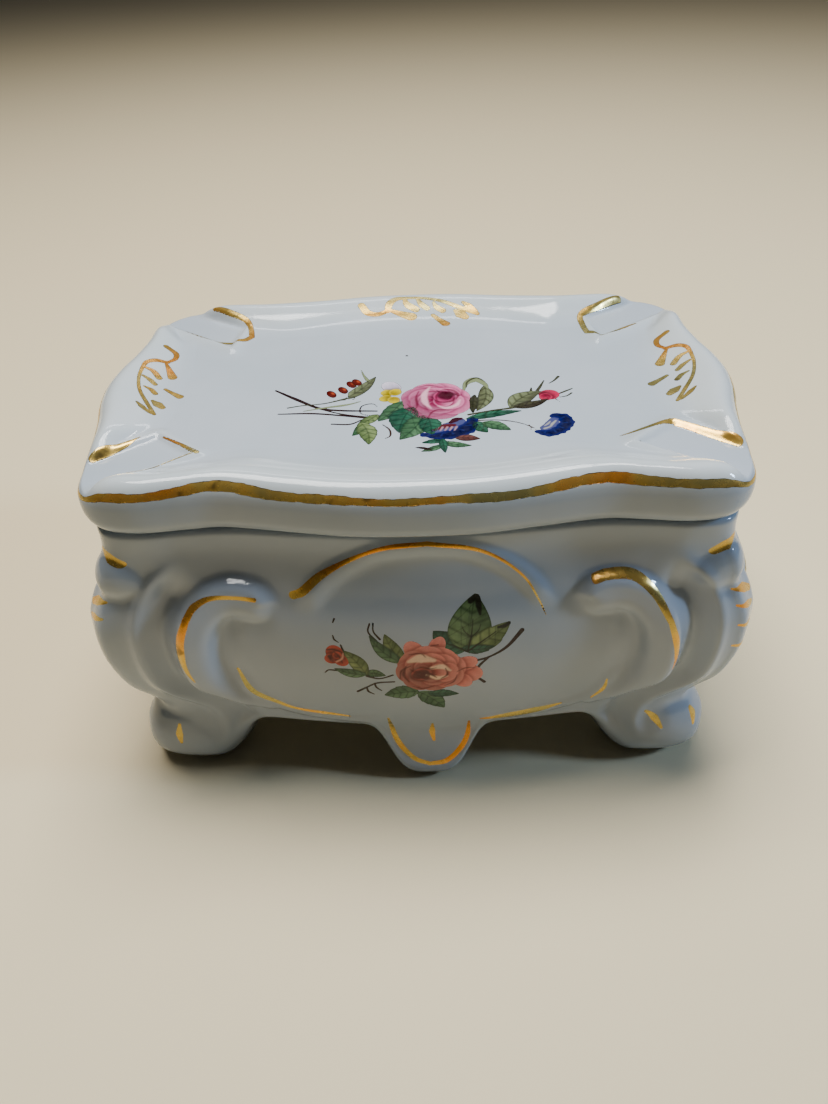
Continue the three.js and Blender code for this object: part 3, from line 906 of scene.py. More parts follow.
def paint_bell(p, crescent, widths, centre, streaks):
    """A dark blue bell seen from its side: a scalloped crescent round a pale, streaked middle."""
    inside = stroke_shape(p, crescent, widths)
    inside = inside + 0.16 * np.sin(p.u * 3.1 + 0.6) * np.sin(p.v * 3.4)
    paint_stroke(p, *centre, pigment(112, 116, 158))
    p.lay(inside, NIGHT_BLUE)
    p.tint(inside - 0.5, INK_BLUE, 0.8, soft=0.5)
    middle = np.mean(centre[0], axis=0)
    for place in open_curve(crescent, 12)[1:10:2]:
        fold = stroke_shape(p, [place, place * 0.75 + middle * 0.25], (0.18, 0.06))
        p.tint(fold, pigment(80, 96, 170), 0.35)
    for stroke in streaks:
        paint_stroke(p, *stroke)


def lid_spray_blue_low():
    p = Painting((0, -21), (12.5, -11))
    pale = pigment(196, 168, 176)
    streaks = [([(3.6, -16.6), (5.2, -15.7), (7, -15.3)], (0.4, 0.7, 0.4), pigment(128, 60, 70)),
               ([(6.4, -14.4), (7.4, -13.4), (8.2, -13.2)], (0.4, 0.7, 0.4), pigment(92, 18, 56))]
    streaks += [([(3.8 + 0.8 * k, -17), (4.2 + 0.8 * k, -15.9)], (0.12, 0.2), pale) for k in range(5)]
    crescent = [(1.6, -18.1), (4.2, -18.7), (7.4, -17.9), (9.7, -15.8), (10.3, -13.4)]
    centre = [(3.4, -17), (6, -16), (8, -14)], (0.8, 1.6, 1)
    paint_bell(p, crescent, (0.6, 1.2, 1.5, 1.7, 0.9), centre, streaks)
    return p


def lid_spray_blue_far():
    p = Painting((19.5, -21), (28.5, -11))
    pale = pigment(190, 188, 184)
    streaks = [([(22.2, -17.2), (23.2, -16.6), (23.7, -15.7), (24.4, -14.7)], (0.22, 0.16, 0.26, 0.14), pale),
               ([(22.3, -16.3), (22.9, -15.7), (23.4, -14.9)], (0.1, 0.2, 0.1), pale)]
    crescent = [(21.2, -18.2), (22.9, -18.7), (25, -17.5), (26.2, -15.4), (25.8, -13.4), (24.2, -12.9)]
    centre = [(22.2, -17), (23.4, -16), (24.2, -14.4)], (0.8, 1.2, 0.9)
    paint_bell(p, crescent, (0.7, 1.1, 1.2, 1.3, 1.2, 0.7), centre, streaks)
    return p


def lid_spray_bud():
    p = Painting((16, -10.5), (30, 2))
    for stroke in (
        ([(22, -4.8), (23, -2.6), (24, -0.2)], (0.35, 0.3, 0.12)),
        ([(24.6, -1.6), (25.8, -0.4), (26.8, 1.1)], (0.1, 0.2, 0.3)),
        ([(26, -5.4), (27.2, -4.6), (28.7, -3.6)], (0.2, 0.24, 0.16)),
        ([(26.1, -6.6), (27.4, -6.2), (28.4, -5.2)], (0.12, 0.16, 0.2)),
        ([(25.3, -7.2), (25.9, -8.2)], (0.14, 0.1)),
        ([(21.2, -4.2), (21.4, -2.8)], (0.3, 0.12)),
    ):
        paint_stroke(p, *stroke, OLIVE_DARK)
    paint_petal(p, (24.3, -5.6), (1.9, 1.8), 20, BUD_PINK, pigment(150, 44, 78))
    paint_petal(p, (23.6, -6.4), (1.3, 1.2), 250, BUD_PINK, pigment(150, 44, 78))
    paint_leaf(p, (17, -10), (23, -4.2), 4, OLIVES, 0.9)
    paint_leaf(p, (17.6, -9.8), (24, -7.2), 2.2, (OLIVE_DARK * 1.3, pigment(70, 52, 42)), -0.4)
    return p


def front_spray_leaves():
    p = Painting((-17.5, 20.5), (18.5, 48.5))
    for stroke in (
        ([(9, 34.4), (12, 35.2), (15, 37.1), (17.6, 40.4)], (0.26, 0.2, 0.3, 0.4)),
        ([(12.2, 35.3), (10.4, 33.2), (10, 30.8), (11.4, 28.9)], (0.16, 0.26, 0.24, 0.3)),
        ([(-9.2, 31.2), (-7, 30.6), (-4.6, 31.6)], (0.24, 0.16, 0.18)),
        ([(-4.4, 29.8), (-7.4, 29.4), (-9.4, 28.1), (-11.1, 26.8)], (0.16, 0.2, 0.18, 0.26)),
        ([(-7.9, 29.3), (-7.7, 28.2), (-6.8, 27.2)], (0.16, 0.2, 0.1)),
        ([(-9.4, 28.1), (-9.2, 26.9), (-8.2, 26.1)], (0.16, 0.22, 0.1)),
        ([(-8, 42.8), (-8.3, 41.2), (-7, 39.4)], (0.14, 0.14, 0.2)),
        ([(-7.4, 42.9), (-7.4, 41.3), (-6.4, 39.8)], (0.1, 0.14, 0.2)),
        ([(-16.5, 31.7), (-15.8, 32.4), (-14.4, 32.4)], (0.1, 0.16, 0.2)),
        ([(-13.9, 43.5), (-14.2, 42.8)], (0.16, 0.1)),
        ([(-14.4, 40.3), (-14.2, 39.5), (-13.5, 38.9)], (0.12, 0.16, 0.08)),
        ([(-13.2, 38.4), (-12.8, 36.9), (-12.2, 35)], (0.14, 0.24, 0.3)),
    ):
        paint_stroke(p, *stroke, STEM_BROWN)
    for leaf in (
        ((8.1, 37), (2.6, 41.4), 5, BLUISH, 0.6),
        ((8.4, 36.6), (9.7, 47.6), 7.4, PALE, 0.2),
        ((8.2, 36.7), (15.6, 42.3), 4.2, YELLOWISH, -0.3, 3),
        ((7.4, 37.6), (13, 37.6), 2, BLUISH, -0.5, 4),
        ((-2.6, 34.6), (-5.6, 40.9), 3, YELLOWISH, 0.3),
        ((-2.6, 34.6), (-8.2, 40.5), 2.5, GREEN, 0.7),
        ((-9.4, 32.1), (-5.8, 31.4), 1.9, GREEN, 0.2),
        ((-9.2, 31.4), (-12.8, 37.2), 3, YELLOWISH, -0.4),
        ((-9.2, 31.6), (-14.8, 32.9), 2.2, GREEN, 0.4),
        ((-0.2, 27.2), (-6.4, 25.9), 3.8, GREEN, -0.2, 5),
        ((-0.2, 27), (4.3, 21.6), 3.9, GREEN, 0.4, 5),
        ((1.5, 26.4), (7, 25.9), 2.2, BLUISH, 0.2, 4),
    ):
        paint_leaf(p, *leaf)
    for stroke in (
        ([(8.9, 46.4), (9.9, 47), (10.3, 45.4), (10.5, 44)], (0.5, 0.5, 0.5, 0.2)),
        ([(13.6, 41.4), (14.7, 41.6), (15.3, 42)], (0.24, 0.4, 0.34)),
        ([(8.4, 36.8), (9, 40), (9.3, 43.2)], (0.16, 0.14, 0.06)),
        ([(8.4, 36.8), (10.6, 38.6), (13.2, 40.6)], (0.18, 0.14, 0.08)),
        ([(8.3, 36.8), (6.2, 38.2), (4.4, 38.9)], (0.14, 0.14, 0.06)),
        ([(9, 39.8), (7.9, 41), (7.5, 42)], (0.1, 0.1, 0.05)),
        ([(9, 39.8), (10.2, 41), (10.6, 42.2)], (0.1, 0.1, 0.05)),
    ):
        paint_stroke(p, *stroke, pigment(34, 46, 30))
    return p


def front_spray_rose():
    p = Painting((-6, 25.5), (11, 40.5))
    light, middle = pigment(234, 166, 158), pigment(206, 112, 106)
    deep, heart = pigment(176, 70, 66), pigment(112, 20, 28)
    for petal in (((8.6, 31.6), (2.6, 2.2), 330), ((7.4, 29.9), (2.3, 1.6), 310), ((7.9, 34), (2.4, 1.6), 20),
                  ((-0.6, 37.2), (2.4, 1.7), 120), ((3.2, 38), (2.6, 1.5), 70)):
        paint_petal(p, *petal, light, middle)
    paint_rose(p, (2, 32.8), (6.1, 5.3), 10, (-0.32, -0.22), light, middle, deep, heart)
    tint_strokes(p, pigment(250, 226, 204), 0.8, 0.25, (
        ([(-1.7, 35), (0.3, 35.7), (2.6, 35.2)], (0.3, 1.0, 0.4)),
        ([(2.2, 33.4), (4, 33.6), (5.4, 32.6)], (0.3, 0.6, 0.2)),
        ([(1.4, 31.6), (3.2, 30.8), (4.8, 31.2)], (0.2, 0.5, 0.2)),
    ))
    tint_strokes(p, heart, 0.8, 0.12, (
        ([(-0.3, 31.6), (1.2, 30.8), (1.8, 31.9), (3, 30.9)], (0.2, 0.35, 0.3, 0.1)),
        ([(-2.2, 33.9), (-2.7, 31.8), (-1.8, 29.8)], (0.1, 0.3, 0.1)),
        ([(3.8, 30.6), (4.9, 31.6), (4.6, 33.2)], (0.1, 0.2, 0.1)),
        ([(-1.6, 36.6), (0.4, 36.8), (1.2, 36)], (0.08, 0.14, 0.08)),
        ([(2.2, 38.4), (3.4, 38.6)], (0.12, 0.12)),
        ([(-3.4, 30.6), (-3, 32.8), (-1.4, 34)], (0.08, 0.2, 0.08)),
        ([(0.2, 33.6), (1.6, 33.2), (3, 33.4)], (0.06, 0.16, 0.06)),
        ([(4.4, 28.6), (6, 29.6), (6.6, 31.4)], (0.06, 0.14, 0.06)),
        ([(6.6, 32.2), (8, 33), (9.6, 33)], (0.06, 0.14, 0.06)),
        ([(-1.2, 28.6), (0.6, 28), (2.6, 28.6)], (0.06, 0.16, 0.06)),
    ))
    return p


def front_spray_bud():
    p = Painting((-17.5, 32.5), (-10.5, 39))
    light, deep = pigment(206, 104, 88), pigment(128, 36, 36)
    for petal in (((-14.3, 36.4), (1.9, 1.6), 110), ((-14.9, 35.3), (1.4, 1.2), 200),
                  ((-13.4, 35), (1.5, 1.3), 300), ((-14, 36.1), (0.9, 0.8), 60)):
        paint_petal(p, *petal, light, deep)
    tint_strokes(p, pigment(70, 16, 22), 0.8, 0.15, (
        ([(-15.4, 35.8), (-15.2, 35)], (0.3, 0.15)),
        ([(-15.9, 37.2), (-14.6, 37.4), (-13.4, 37)], (0.12, 0.2, 0.1)),
        ([(-14.4, 36.8), (-13.6, 35.8), (-13.2, 34.4)], (0.1, 0.2, 0.1)),
    ))
    shine = [(-14.2, 34.6), (-13.2, 35.4), (-12.9, 36.6)]
    p.tint(stroke_shape(p, shine, (0.15, 0.2, 0.1)), pigment(244, 196, 180), 0.7)
    return p


# ---------------------------------------------------------------- gilding
GILT = 1.0  # a plain mask; the gold's own material gives it its colour

# Strokes on a long face: u from the middle of the face, height.
FRONT_GILDING = [
    ([(-20.6, 47.2), (-19, 48), (-15.6, 51.1), (-10.4, 54.3), (-4.7, 56.6), (2, 57.3)],
     (0.7, 0.6, 0.38, 0.32, 0.4, 0.36)),
    ([(2, 57.3), (8.9, 56.1), (13.7, 53.7), (17.9, 50), (20.1, 46.2), (21.6, 42.8)],
     (0.36, 0.38, 0.28, 0.22, 0.16, 0.08)),
    ([(-26.9, 47.4), (-30.1, 47.6), (-34.4, 47.6), (-37.3, 46), (-39, 43.6)], (0.4, 0.34, 0.4, 0.5, 0.6)),
    ([(-39, 43.6), (-40.5, 39.8), (-41, 35.5), (-40.7, 32.4), (-39.9, 29.8)], (0.6, 0.75, 0.75, 0.5, 0.12)),
    ([(29.3, 49), (31.4, 49.6), (34.5, 49.8), (37, 48.9), (39.6, 46.4), (42.2, 42)],
     (0.5, 0.5, 0.55, 0.62, 0.62, 0.5)),
    ([(42.2, 42), (43.6, 37.8), (44.2, 33.8), (44.1, 30.6)], (0.5, 0.6, 0.4, 0.1)),
    ([(-32.5, 30.4), (-31.7, 27.6), (-30.3, 24.7), (-27, 22.2), (-22.6, 19.9), (-13.3, 18.2)],
     (0.3, 0.62, 0.4, 0.24, 0.34, 0.12)),
    ([(33.6, 26.4), (33.2, 23.8), (31.2, 21.4)], (0.14, 0.45, 0.14)),
    ([(26, 19.9), (22, 18.6), (17, 17.6), (11, 17)], (0.14, 0.75, 0.65, 0.2)),
    ([(-6.2, 17.8), (-5.4, 12.4), (-4, 8.8), (-1.6, 5.8), (1.3, 4.5)], (0.2, 0.5, 0.6, 0.55, 0.4)),
    ([(1.3, 4.5), (4.6, 5.2), (7.2, 8), (8.6, 11.6), (8.9, 16)], (0.4, 0.55, 0.6, 0.5, 0.2)),
    ([(2, 15.4), (1.9, 12.8), (2.2, 10.6)], (0.2, 0.6, 0.3)),
    ([(-47.3, 12.8), (-47.6, 10.8), (-47.6, 8.6)], (0.3, 0.76, 0.3)),
    ([(42.8, 14), (44.5, 12.6), (46, 10.6)], (0.3, 0.76, 0.3)),
    ([(51.7, 13), (52.5, 11.4), (52.6, 9.8)], (0.25, 0.6, 0.25)),
]
# The same on a short face, where the scrolls' strokes come in mirrored pairs.
SIDE_GILDING = [
    ([(-9.6, 48), (-8.4, 51), (-5, 54.2), (0, 56)], (0.5, 0.36, 0.34, 0.4)),
    ([(0, 56), (5.2, 54.4), (8.6, 51.2), (9.9, 47.4)], (0.4, 0.34, 0.24, 0.1)),
]
SIDE_SCROLL_GILDING = [
    ([(30.4, 44.4), (33.6, 45.4), (36.8, 45), (40, 42.8), (42.2, 39.4)], (0.42, 0.5, 0.5, 0.56, 0.6)),
    ([(42.2, 39.4), (43.2, 36), (43.2, 32.6), (42, 28.8)], (0.6, 0.66, 0.5, 0.1)),
]
for mirror in (-1, 1):
    SIDE_GILDING += [([(mirror * (a - SIDE_SHIFT), z) for a, z in points], widths)
                     for points, widths in SIDE_SCROLL_GILDING]
# Each corner's azimuth, the side of it that the strokes lie on, and how many of them it has.
CORNER_CHARTS = (("front_left", -45, -1, 3), ("front_right", 45, 1, 5),
                 ("back_right", 135, -1, 5), ("back_left", 225, 1, 4))
CORNER_GILDING = [
    ([(10, 52.7), (11.8, 53.5), (14.2, 54.2)], (0.6, 0.85, 0.5)),
    ([(12.6, 44.9), (15.2, 44), (18, 42.3)], (0.2, 0.75, 0.55)),
    ([(12.8, 41.9), (15.2, 41.1), (17.8, 39.8)], (0.2, 0.62, 0.5)),
    ([(13, 37.9), (15.2, 37.2), (17.6, 36.2)], (0.2, 0.55, 0.5)),
    ([(12.8, 33), (15, 32.4), (17.2, 31.4)], (0.2, 0.6, 0.4)),
]


# The scrolled sprig on the dish's wall, in plan, as it lies at the right-hand end.
FILIGREE = [
    ([(49.6, 15), (47.6, 13.6), (47.2, 11.4), (48.2, 9.4)], (0.5, 0.5, 0.4, 0.3)),
    ([(48.2, 9.4), (50.2, 9), (51.6, 7.6), (51.9, 5.4)], (0.4, 0.5, 0.4, 0.3)),
    ([(48.4, 9), (47.4, 7), (46.2, 4.4)], (0.24, 0.5, 0.75)),
    ([(51.9, 5.4), (51.7, 2), (50.6, -2), (48.4, -6), (46.2, -9.6)], (0.3, 0.26, 0.3, 0.34, 0.3)),
    ([(51.3, 5.8), (49.8, 5.2), (48.4, 3.4)], (0.3, 0.5, 0.5)),
    ([(51.2, 3), (49.8, 2.2), (48.6, 1)], (0.24, 0.44, 0.4)),
    ([(50.2, -0.4), (48.9, -1), (47.8, -2.3)], (0.2, 0.42, 0.44)),
    ([(47.6, -5), (46.6, -5.9), (45.4, -7)], (0.3, 0.75, 0.5)),
    ([(49.9, -6.6), (48.6, -7.9), (47.2, -9.2), (46.2, -9.6)], (0.2, 0.45, 0.3, 0.2)),
    ([(46.5, -0.2), (44.9, -1.5), (43.2, -2.8)], (0.3, 0.4, 0.6)),
]


# Strokes round each corner rest, in plan, all given as if in the back right quarter.
REST_GILDING = {
    "front_left": [
        ([(53.2, 23.1), (50.4, 20.8), (48.4, 19.1), (46.6, 17.4)], (0.75, 0.85, 0.66, 0.14)),
        ([(42.7, 17.3), (39.2, 19.9), (35.9, 22.5)], (0.18, 0.3, 0.5)),
        ([(36.6, 22.8), (40.4, 25.8), (45.2, 30)], (0.18, 0.13, 0.18)),
    ],
    "front_right": [
        ([(52.9, 23), (49.1, 20.2), (44.6, 16.9), (43.2, 16.5), (39.6, 17.9), (34.3, 20.2)],
         (0.8, 0.78, 0.64, 0.6, 0.4, 0.1)),
        ([(37.2, 22.2), (41.5, 25.4), (46.1, 28.8)], (0.14, 0.13, 0.16)),
    ],
    "back_left": [
        ([(43.4, 33.2), (39.6, 30.6), (35.6, 27.7), (34.3, 24.6), (33.7, 21.6)],
         (0.5, 0.6, 0.62, 0.6, 0.6)),
        ([(33.7, 21.6), (35.2, 19.6), (38.4, 19.4), (43, 20.9), (48, 24.4)], (0.6, 0.5, 0.4, 0.3, 0.14)),
    ],
    "back_right": [
        ([(43.6, 32.9), (38.9, 29.7), (34.7, 26.6), (34.4, 22.4), (34.8, 19)],
         (0.55, 0.62, 0.7, 0.6, 0.55)),
        ([(34.8, 19), (37, 18.1), (40, 18.7), (45.2, 21.8)], (0.55, 0.5, 0.44, 0.14)),
    ],
}


def gilding(strokes, low, high, step=0.15):
    """Gold strokes on a field from its low corner to its high one."""
    p = Painting(low, high, step)
    for points, widths in strokes:
        paint_stroke(p, points, widths, GILT)
    return p


def placed_gilding(strokes, place, fullness=1):
    """Gold strokes whose points are moved by place, on a field just big enough for them."""
    placed = [([place(x, y) for x, y in points], [fullness * w for w in widths])
              for points, widths in strokes]
    points = np.array([q for path, _ in placed for q in path])
    return gilding(placed, points.min(0) - 1.5, points.max(0) + 1.5, 0.13)


def rim_gilding():
    """The line round the lid's edge, swelling and thinning as the brush went round."""
    p = Painting((0, 0.4), (LID_TURN_LENGTH[-1], 7), 0.17)
    t = np.interp(p.u, LID_TURN_LENGTH, LID_TURN)
    corner = rim_wave(t)[1]
    waist = waist_weight(outline_at(LID_POINTS, t), 9)
    waver = 0.5 * np.sin(p.u * 0.21) + 0.3 * np.sin(p.u * 0.53 + 1) + 0.2 * np.sin(p.u * 1.27 + 2)
    half = 0.72 + 0.16 * waver + 0.32 * waist + 0.06 * np.sin(p.u * 2.3) * np.sin(p.u * 0.7)
    centre = 3.9 + 0.7 * waist - 1.1 * corner + 0.15 * np.sin(p.u * 0.33 + 0.6)
    p.lay(half - np.abs(p.v - centre), GILT)
    return p


# ---------------------------------------------------------------- materials
class Nodes:
    """Adds shader nodes to a new material and links them."""

    def __init__(self, name):
        self.material = bpy.data.materials.new(name)
        self.material.use_nodes = True
        self.tree = self.material.node_tree
        self.shader = self.tree.nodes["Principled BSDF"]
        self.place = self.tree.nodes.new("ShaderNodeTexCoord").outputs["Object"]

    def link(self, value, socket):
        """Links an output to a socket, or sets a plain value on it."""
        if hasattr(value, "is_output"):
            self.tree.links.new(value, socket)
        else:
            socket.default_value = value

    def noise(self, scale, detail=2.0, roughness=0.5):
        node = self.tree.nodes.new("ShaderNodeTexNoise")
        node.inputs["Scale"].default_value = scale
        node.inputs["Detail"].default_value = detail
        node.inputs["Roughness"].default_value = roughness
        self.link(self.place, node.inputs["Vector"])
        return node.outputs["Fac"]

    def ramp(self, factor, stops):
        """Stops are (position, colour or grey level)."""
        node = self.tree.nodes.new("ShaderNodeValToRGB")
        elements = node.color_ramp.elements
        while len(elements) < len(stops):
            elements.new(1.0)
        for element, (position, colour) in zip(elements, stops):
            element.position = position
            element.color = (*colour, 1) if isinstance(colour, tuple) else (colour, colour, colour, 1)
        self.link(factor, node.inputs["Fac"])
        return node.outputs["Color"]

    def maths(self, operation, a, b):
        node = self.tree.nodes.new("ShaderNodeMath")
        node.operation = operation
        self.link(a, node.inputs[0])
        self.link(b, node.inputs[1])
        return node.outputs["Value"]

    def mix(self, factor, a, b):
        node = self.tree.nodes.new("ShaderNodeMix")
        node.data_type = "RGBA"
        self.link(factor, node.inputs[0])
        self.link(a, node.inputs[6])
        self.link(b, node.inputs[7])
        return node.outputs[2]

    def bump(self, height, strength, distance):
        node = self.tree.nodes.new("ShaderNodeBump")
        node.inputs["Strength"].default_value = strength
        node.inputs["Distance"].default_value = distance
        self.link(height, node.inputs["Height"])
        self.tree.links.new(node.outputs["Normal"], self.shader.inputs["Normal"])


# The walls' tint is darker than the tray's: painted shade, for walls that stand in shade.
SHADED_WALL_GLAZE = [(0.3, (0.405, 0.465, 0.54)), (0.7, (0.45, 0.50, 0.575))]
TRAY_GLAZE = [(0.3, (0.62, 0.67, 0.685)), (0.7, (0.67, 0.705, 0.715))]
SHADE_FADE_HEIGHT = 2.5 * MM  # height over which the walls' painted shade gives way to the tray's plain tone
IRON_SPECK = (0.06, 0.05, 0.045, 1)
# Cells to a metre, a speck's radius in cells, and the share of cells without one.
SPECK_CELLS, SPECK_RADIUS, SPECK_LACK = 62, 0.016, 0.72
BARE_CLAY = (0.62, 0.56, 0.47, 1)
BARE_ROUGHNESS = (0.7, 0.7, 0.7, 1)
CHALK = (0.62, 0.62, 0.6, 1)
RUBBED_GOLD = (0.10, 0.07, 0.035, 1)


def glaze_material(name, unshaded_above=None, bare_below=None):
    """Porcelain glaze with a faint tint, slight waviness and a few iron specks.

    Its tint is painted shade, darker than the tray's, up to one height when one is given; above it the tray's
    plain tone takes over. It is bare below another height, under the feet.
    """
    n = Nodes(name)
    glaze_unevenness = n.noise(45, 3)
    # The tint starts as the walls' painted shade.
    tint = n.ramp(glaze_unevenness, SHADED_WALL_GLAZE)
    height = n.tree.nodes.new("ShaderNodeSeparateXYZ")
    n.link(n.place, height.inputs["Vector"])
    if unshaded_above is not None:
        # Above the given height the walls' painted shade gives way to the tray's plain tone.
        rise = n.maths("MULTIPLY", n.maths("SUBTRACT", height.outputs["Z"], unshaded_above), 1 / SHADE_FADE_HEIGHT)
        tint = n.mix(rise, tint, n.ramp(glaze_unevenness, TRAY_GLAZE))
    cells = n.tree.nodes.new("ShaderNodeTexVoronoi")
    cells.inputs["Scale"].default_value = SPECK_CELLS
    n.link(n.place, cells.inputs["Vector"])
    near = n.maths("LESS_THAN", cells.outputs["Distance"], SPECK_RADIUS)
    red = n.tree.nodes.new("ShaderNodeSeparateColor")
    n.link(cells.outputs["Color"], red.inputs["Color"])
    speck = n.maths("MULTIPLY", near, n.maths("GREATER_THAN", red.outputs["Red"], SPECK_LACK))
    colour = n.mix(speck, tint, IRON_SPECK)
    gloss = n.ramp(n.noise(160, 3), [(0.35, 0.07), (0.75, 0.13)])
    if bare_below is not None:
        bare = n.maths("LESS_THAN", height.outputs["Z"], bare_below)
        colour = n.mix(bare, colour, BARE_CLAY)
        gloss = n.mix(bare, gloss, BARE_ROUGHNESS)
    n.link(colour, n.shader.inputs["Base Color"])
    n.link(gloss, n.shader.inputs["Roughness"])
    ripple = n.maths("ADD", n.noise(120, 1), n.maths("MULTIPLY", n.noise(900, 2), 0.12))
    n.bump(ripple, 0.12, 0.0006)
    return n.material


def enamel_material():
    """Overglaze flower colours, slightly duller and more uneven than the glaze."""
    n = Nodes("flower_enamel")
    paint = n.tree.nodes.new("ShaderNodeVertexColor")
    paint.layer_name = "paint"
    wash = n.ramp(n.noise(900, 3, 0.6), [(0.3, 0.0), (0.75, 0.05)])
    n.link(n.mix(wash, paint.outputs["Color"], CHALK), n.shader.inputs["Base Color"])
    n.link(n.ramp(n.noise(500, 2), [(0.3, 0.1), (0.7, 0.18)]), n.shader.inputs["Roughness"])
    return n.material


def gold_material():
    """Brushed-on gold: orange, yellow and olive in random patches, rubbed and pitted in places."""
    n = Nodes("worn_gilding")
    gold = n.ramp(n.noise(70, 3, 0.55), [
        (0.34, (0.46, 0.40, 0.17)), (0.5, (0.74, 0.50, 0.15)), (0.66, (0.84, 0.38, 0.10))])
    rubbed = n.ramp(n.noise(190, 3, 0.6), [(0.3, 0.6), (0.36, 0.0)])
    n.link(n.mix(rubbed, gold, RUBBED_GOLD), n.shader.inputs["Base Color"])
    n.link(n.ramp(n.noise(700, 2), [(0.3, 0.18), (0.7, 0.34)]), n.shader.inputs["Roughness"])
    n.link(n.ramp(n.noise(1500, 2), [(0.22, 0.0), (0.26, 0.62)]), n.shader.inputs["Metallic"])
    n.bump(n.noise(800, 3), 0.25, 0.0001)
    return n.material


# ---------------------------------------------------------------- build
turn = even_columns(COLUMNS)
base = column_object("base_porcelain", base_columns(turn))
# The whole base takes the walls' darker tint, which is painted shade.
base.data.materials.append(glaze_material("base_glaze_porcelain", bare_below=0.35 * MM))
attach(base, "base")
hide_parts("box_base")
lid = column_object("lid_porcelain", lid_columns(turn))
# The lid's side takes the painted shade up to just above its widest line; the tray above is plain.
lid.data.materials.append(glaze_material("lid_glaze_porcelain", unshaded_above=(LID_WIDEST + 1.8) * MM))
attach(lid, "lid")
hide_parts("box_lid")


def lay_everything():
    """Lays the enamel and the gold on the base and the lid."""
    on_base, on_lid = Surface(base), Surface(lid)
    enamel = enamel_material()
    gold = gold_material()

    def on_wall(name, painting, azimuth, material=gold, height=WALL_FILM):
        film(name, painting, facing(azimuth), on_base, material, "base", height)

    def on_tray(name, painting, material=gold, height=TRAY_FILM):
        film(name, painting, from_above, on_lid, material, "lid", height)

    for name, paint, height in (
        ("lid_spray_stems", lid_spray_stems, 0.03), ("lid_spray_leaves", lid_spray_leaves, 0.045),
        ("lid_spray_rose", lid_spray_rose, 0.06), ("lid_spray_blue_low", lid_spray_blue_low, 0.075),
        ("lid_spray_blue_far", lid_spray_blue_far, 0.06), ("lid_spray_bud", lid_spray_bud, 0.06),
    ):
        on_tray(name, specked(paint()), enamel, height)
    for side, azimuth in (("front", 0), ("back", 180)):
        for name, paint, height in (
            ("leaves", front_spray_leaves, 0.035), ("rose", front_spray_rose, 0.055),
            ("bud", front_spray_bud, 0.055),
        ):
            on_wall(side + "_spray_" + name, specked(paint()), azimuth, enamel, height)
        on_wall(side + "_gilding", gilding(FRONT_GILDING, (-51, 3), (56, 59)), azimuth)
    for side, azimuth in (("right", 90), ("left", 270)):
        on_wall(side + "_gilding", gilding(SIDE_GILDING, (-26, 26), (26, 58)), azimuth)
    for name, azimuth, mirror, count in CORNER_CHARTS:
        strokes = [([(mirror * u, z) for u, z in points], widths)
                   for points, widths in CORNER_GILDING[:count]]
        on_wall(name + "_corner_gilding", gilding(strokes, (-20, 29), (20, 56)), azimuth)
    film("lid_rim_gilding", rim_gilding(), round_the_rim, on_lid, gold, "lid", WALL_FILM)
    for name, place, fullness in (
        ("right", lambda x, y: (x, y), 1.25),
        ("left", lambda x, y: (-x, y), 1.25),
        ("back", lambda x, y: (3.6 - y, x - 18), 1.7),
    ):
        on_tray("lid_filigree_" + name, placed_gilding(FILIGREE, place, fullness))
    for name, strokes in REST_GILDING.items():
        sign_x, sign_y = (1 if "right" in name else -1), (1 if "back" in name else -1)
        on_tray("lid_rest_gilding_" + name, placed_gilding(strokes, lambda x, y: (sign_x * x, sign_y * y)))


lay_everything()

# ---------------------------------------------------------------- stage, camera, light
# From here on lengths are in metres.
FLOOR_HALF_SIZE = 6
FLOOR_COLOUR = (0.86, 0.735, 0.50, 1)
CAMERA_PLACE = (0.0036, -0.1385, 0.1401)
CAMERA_LENS = 27.03
PITCH, YAW, ROLL = math.radians(39.6), math.radians(2.08), math.radians(2.59)
BACKDROP_COLOUR = (0.6, 0.66, 0.75, 1)
ROOM_STRENGTH, BACKDROP_STRENGTH = 0.04, 0.45


def make_floor():
    a = FLOOR_HALF_SIZE
    mesh = bpy.data.meshes.new("floor")
    mesh.from_pydata([(-a, -a, 0), (a, -a, 0), (a, a, 0), (-a, a, 0)], [], [(0, 1, 2, 3)])
    floor = bpy.data.objects.new("floor", mesh)
    bpy.context.collection.objects.link(floor)
    material = bpy.data.materials.new("floor_paper")
    material.use_nodes = True
    shader = material.node_tree.nodes["Principled BSDF"]
    shader.inputs["Base Color"].default_value = FLOOR_COLOUR
    shader.inputs["Roughness"].default_value = 0.6
    floor.data.materials.append(material)


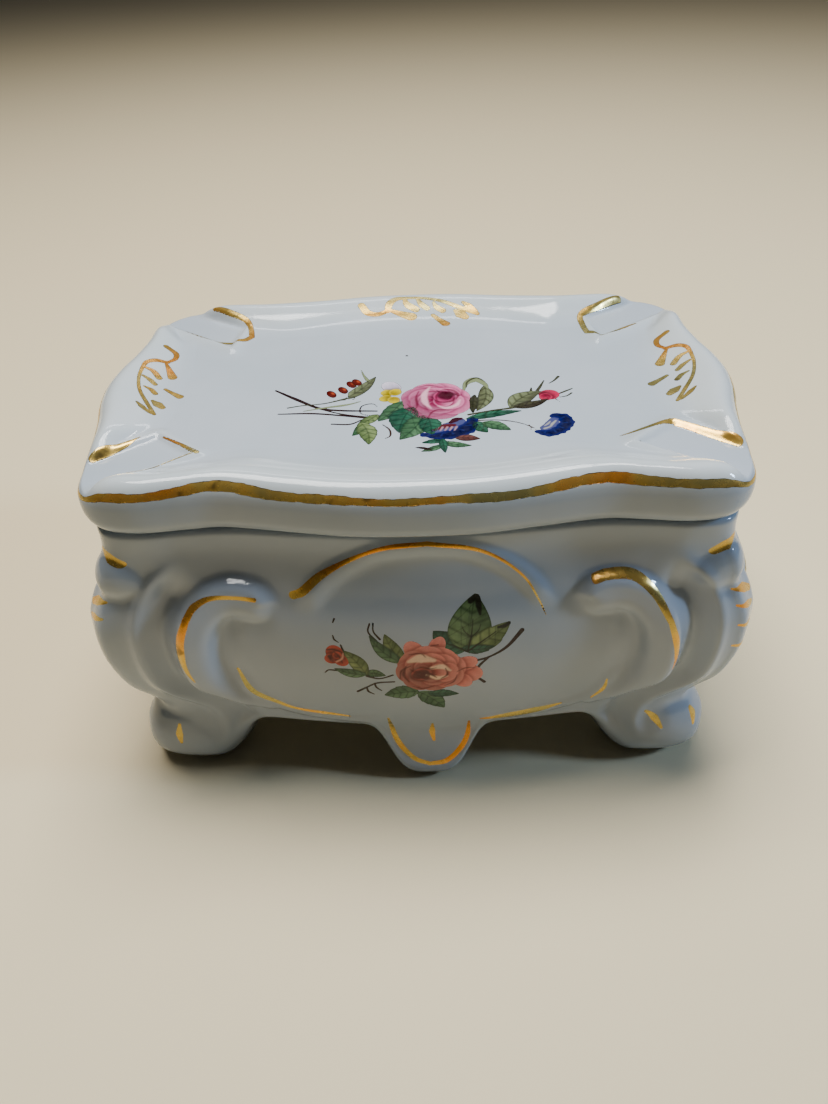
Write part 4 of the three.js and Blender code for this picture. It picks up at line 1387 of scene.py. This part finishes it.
def make_camera():
    camera = bpy.data.objects.new("camera", bpy.data.cameras.new("camera"))
    bpy.context.collection.objects.link(camera)
    bpy.context.scene.camera = camera
    camera.data.sensor_width = 36
    camera.data.lens = CAMERA_LENS
    camera.data.clip_start = 0.01
    level = math.cos(PITCH)
    forward = Vector((-math.sin(YAW) * level, math.cos(YAW) * level, -math.sin(PITCH)))
    right = Vector((math.cos(YAW), math.sin(YAW), 0))
    down = forward.cross(right)
    right_rolled = math.cos(ROLL) * right + math.sin(ROLL) * down
    down_rolled = math.cos(ROLL) * down - math.sin(ROLL) * right
    turned = Matrix((right_rolled, -down_rolled, -forward)).transposed().to_4x4()
    camera.matrix_world = Matrix.Translation(CAMERA_PLACE) @ turned


def area_light(name, location, target, size, power, color):
    light = bpy.data.objects.new(name, bpy.data.lights.new(name, "AREA"))
    bpy.context.collection.objects.link(light)
    light.data.shape = "RECTANGLE"
    light.data.size, light.data.size_y = size
    light.data.energy = power
    light.data.color = color
    light.location = location
    light.rotation_euler = (Vector(target) - Vector(location)).to_track_quat("-Z", "Y").to_euler()


def make_lights():
    bpy.context.scene.view_settings.look = "AgX - Medium High Contrast"
    world = bpy.data.worlds.new("studio")
    bpy.context.scene.world = world
    world.use_nodes = True
    background = world.node_tree.nodes["Background"]
    background.inputs["Color"].default_value = BACKDROP_COLOUR
    # The room is dim, but the backdrop itself shows pale.
    seen = world.node_tree.nodes.new("ShaderNodeLightPath")
    strength = world.node_tree.nodes.new("ShaderNodeMath")
    strength.operation = "MULTIPLY_ADD"
    strength.inputs[1].default_value = BACKDROP_STRENGTH
    strength.inputs[2].default_value = ROOM_STRENGTH
    world.node_tree.links.new(seen.outputs["Is Camera Ray"], strength.inputs[0])
    world.node_tree.links.new(strength.outputs["Value"], background.inputs["Strength"])
    area_light("overhead", (-0.06, 0.15, 0.82), (0, 0, 0.05), (0.6, 0.34), 7.5, (1.0, 0.985, 0.95))
    area_light("window", (-0.08, 0.66, 0.76), (0, 0, 0.06), (0.5, 0.08), 0.6, (0.95, 0.97, 1.0))
    area_light("side_window", (0.6, -0.07, 0.38), (0, 0, 0.04), (0.08, 0.12), 1.7, (0.5, 0.7, 1.0))


make_camera()
make_floor()
make_lights()
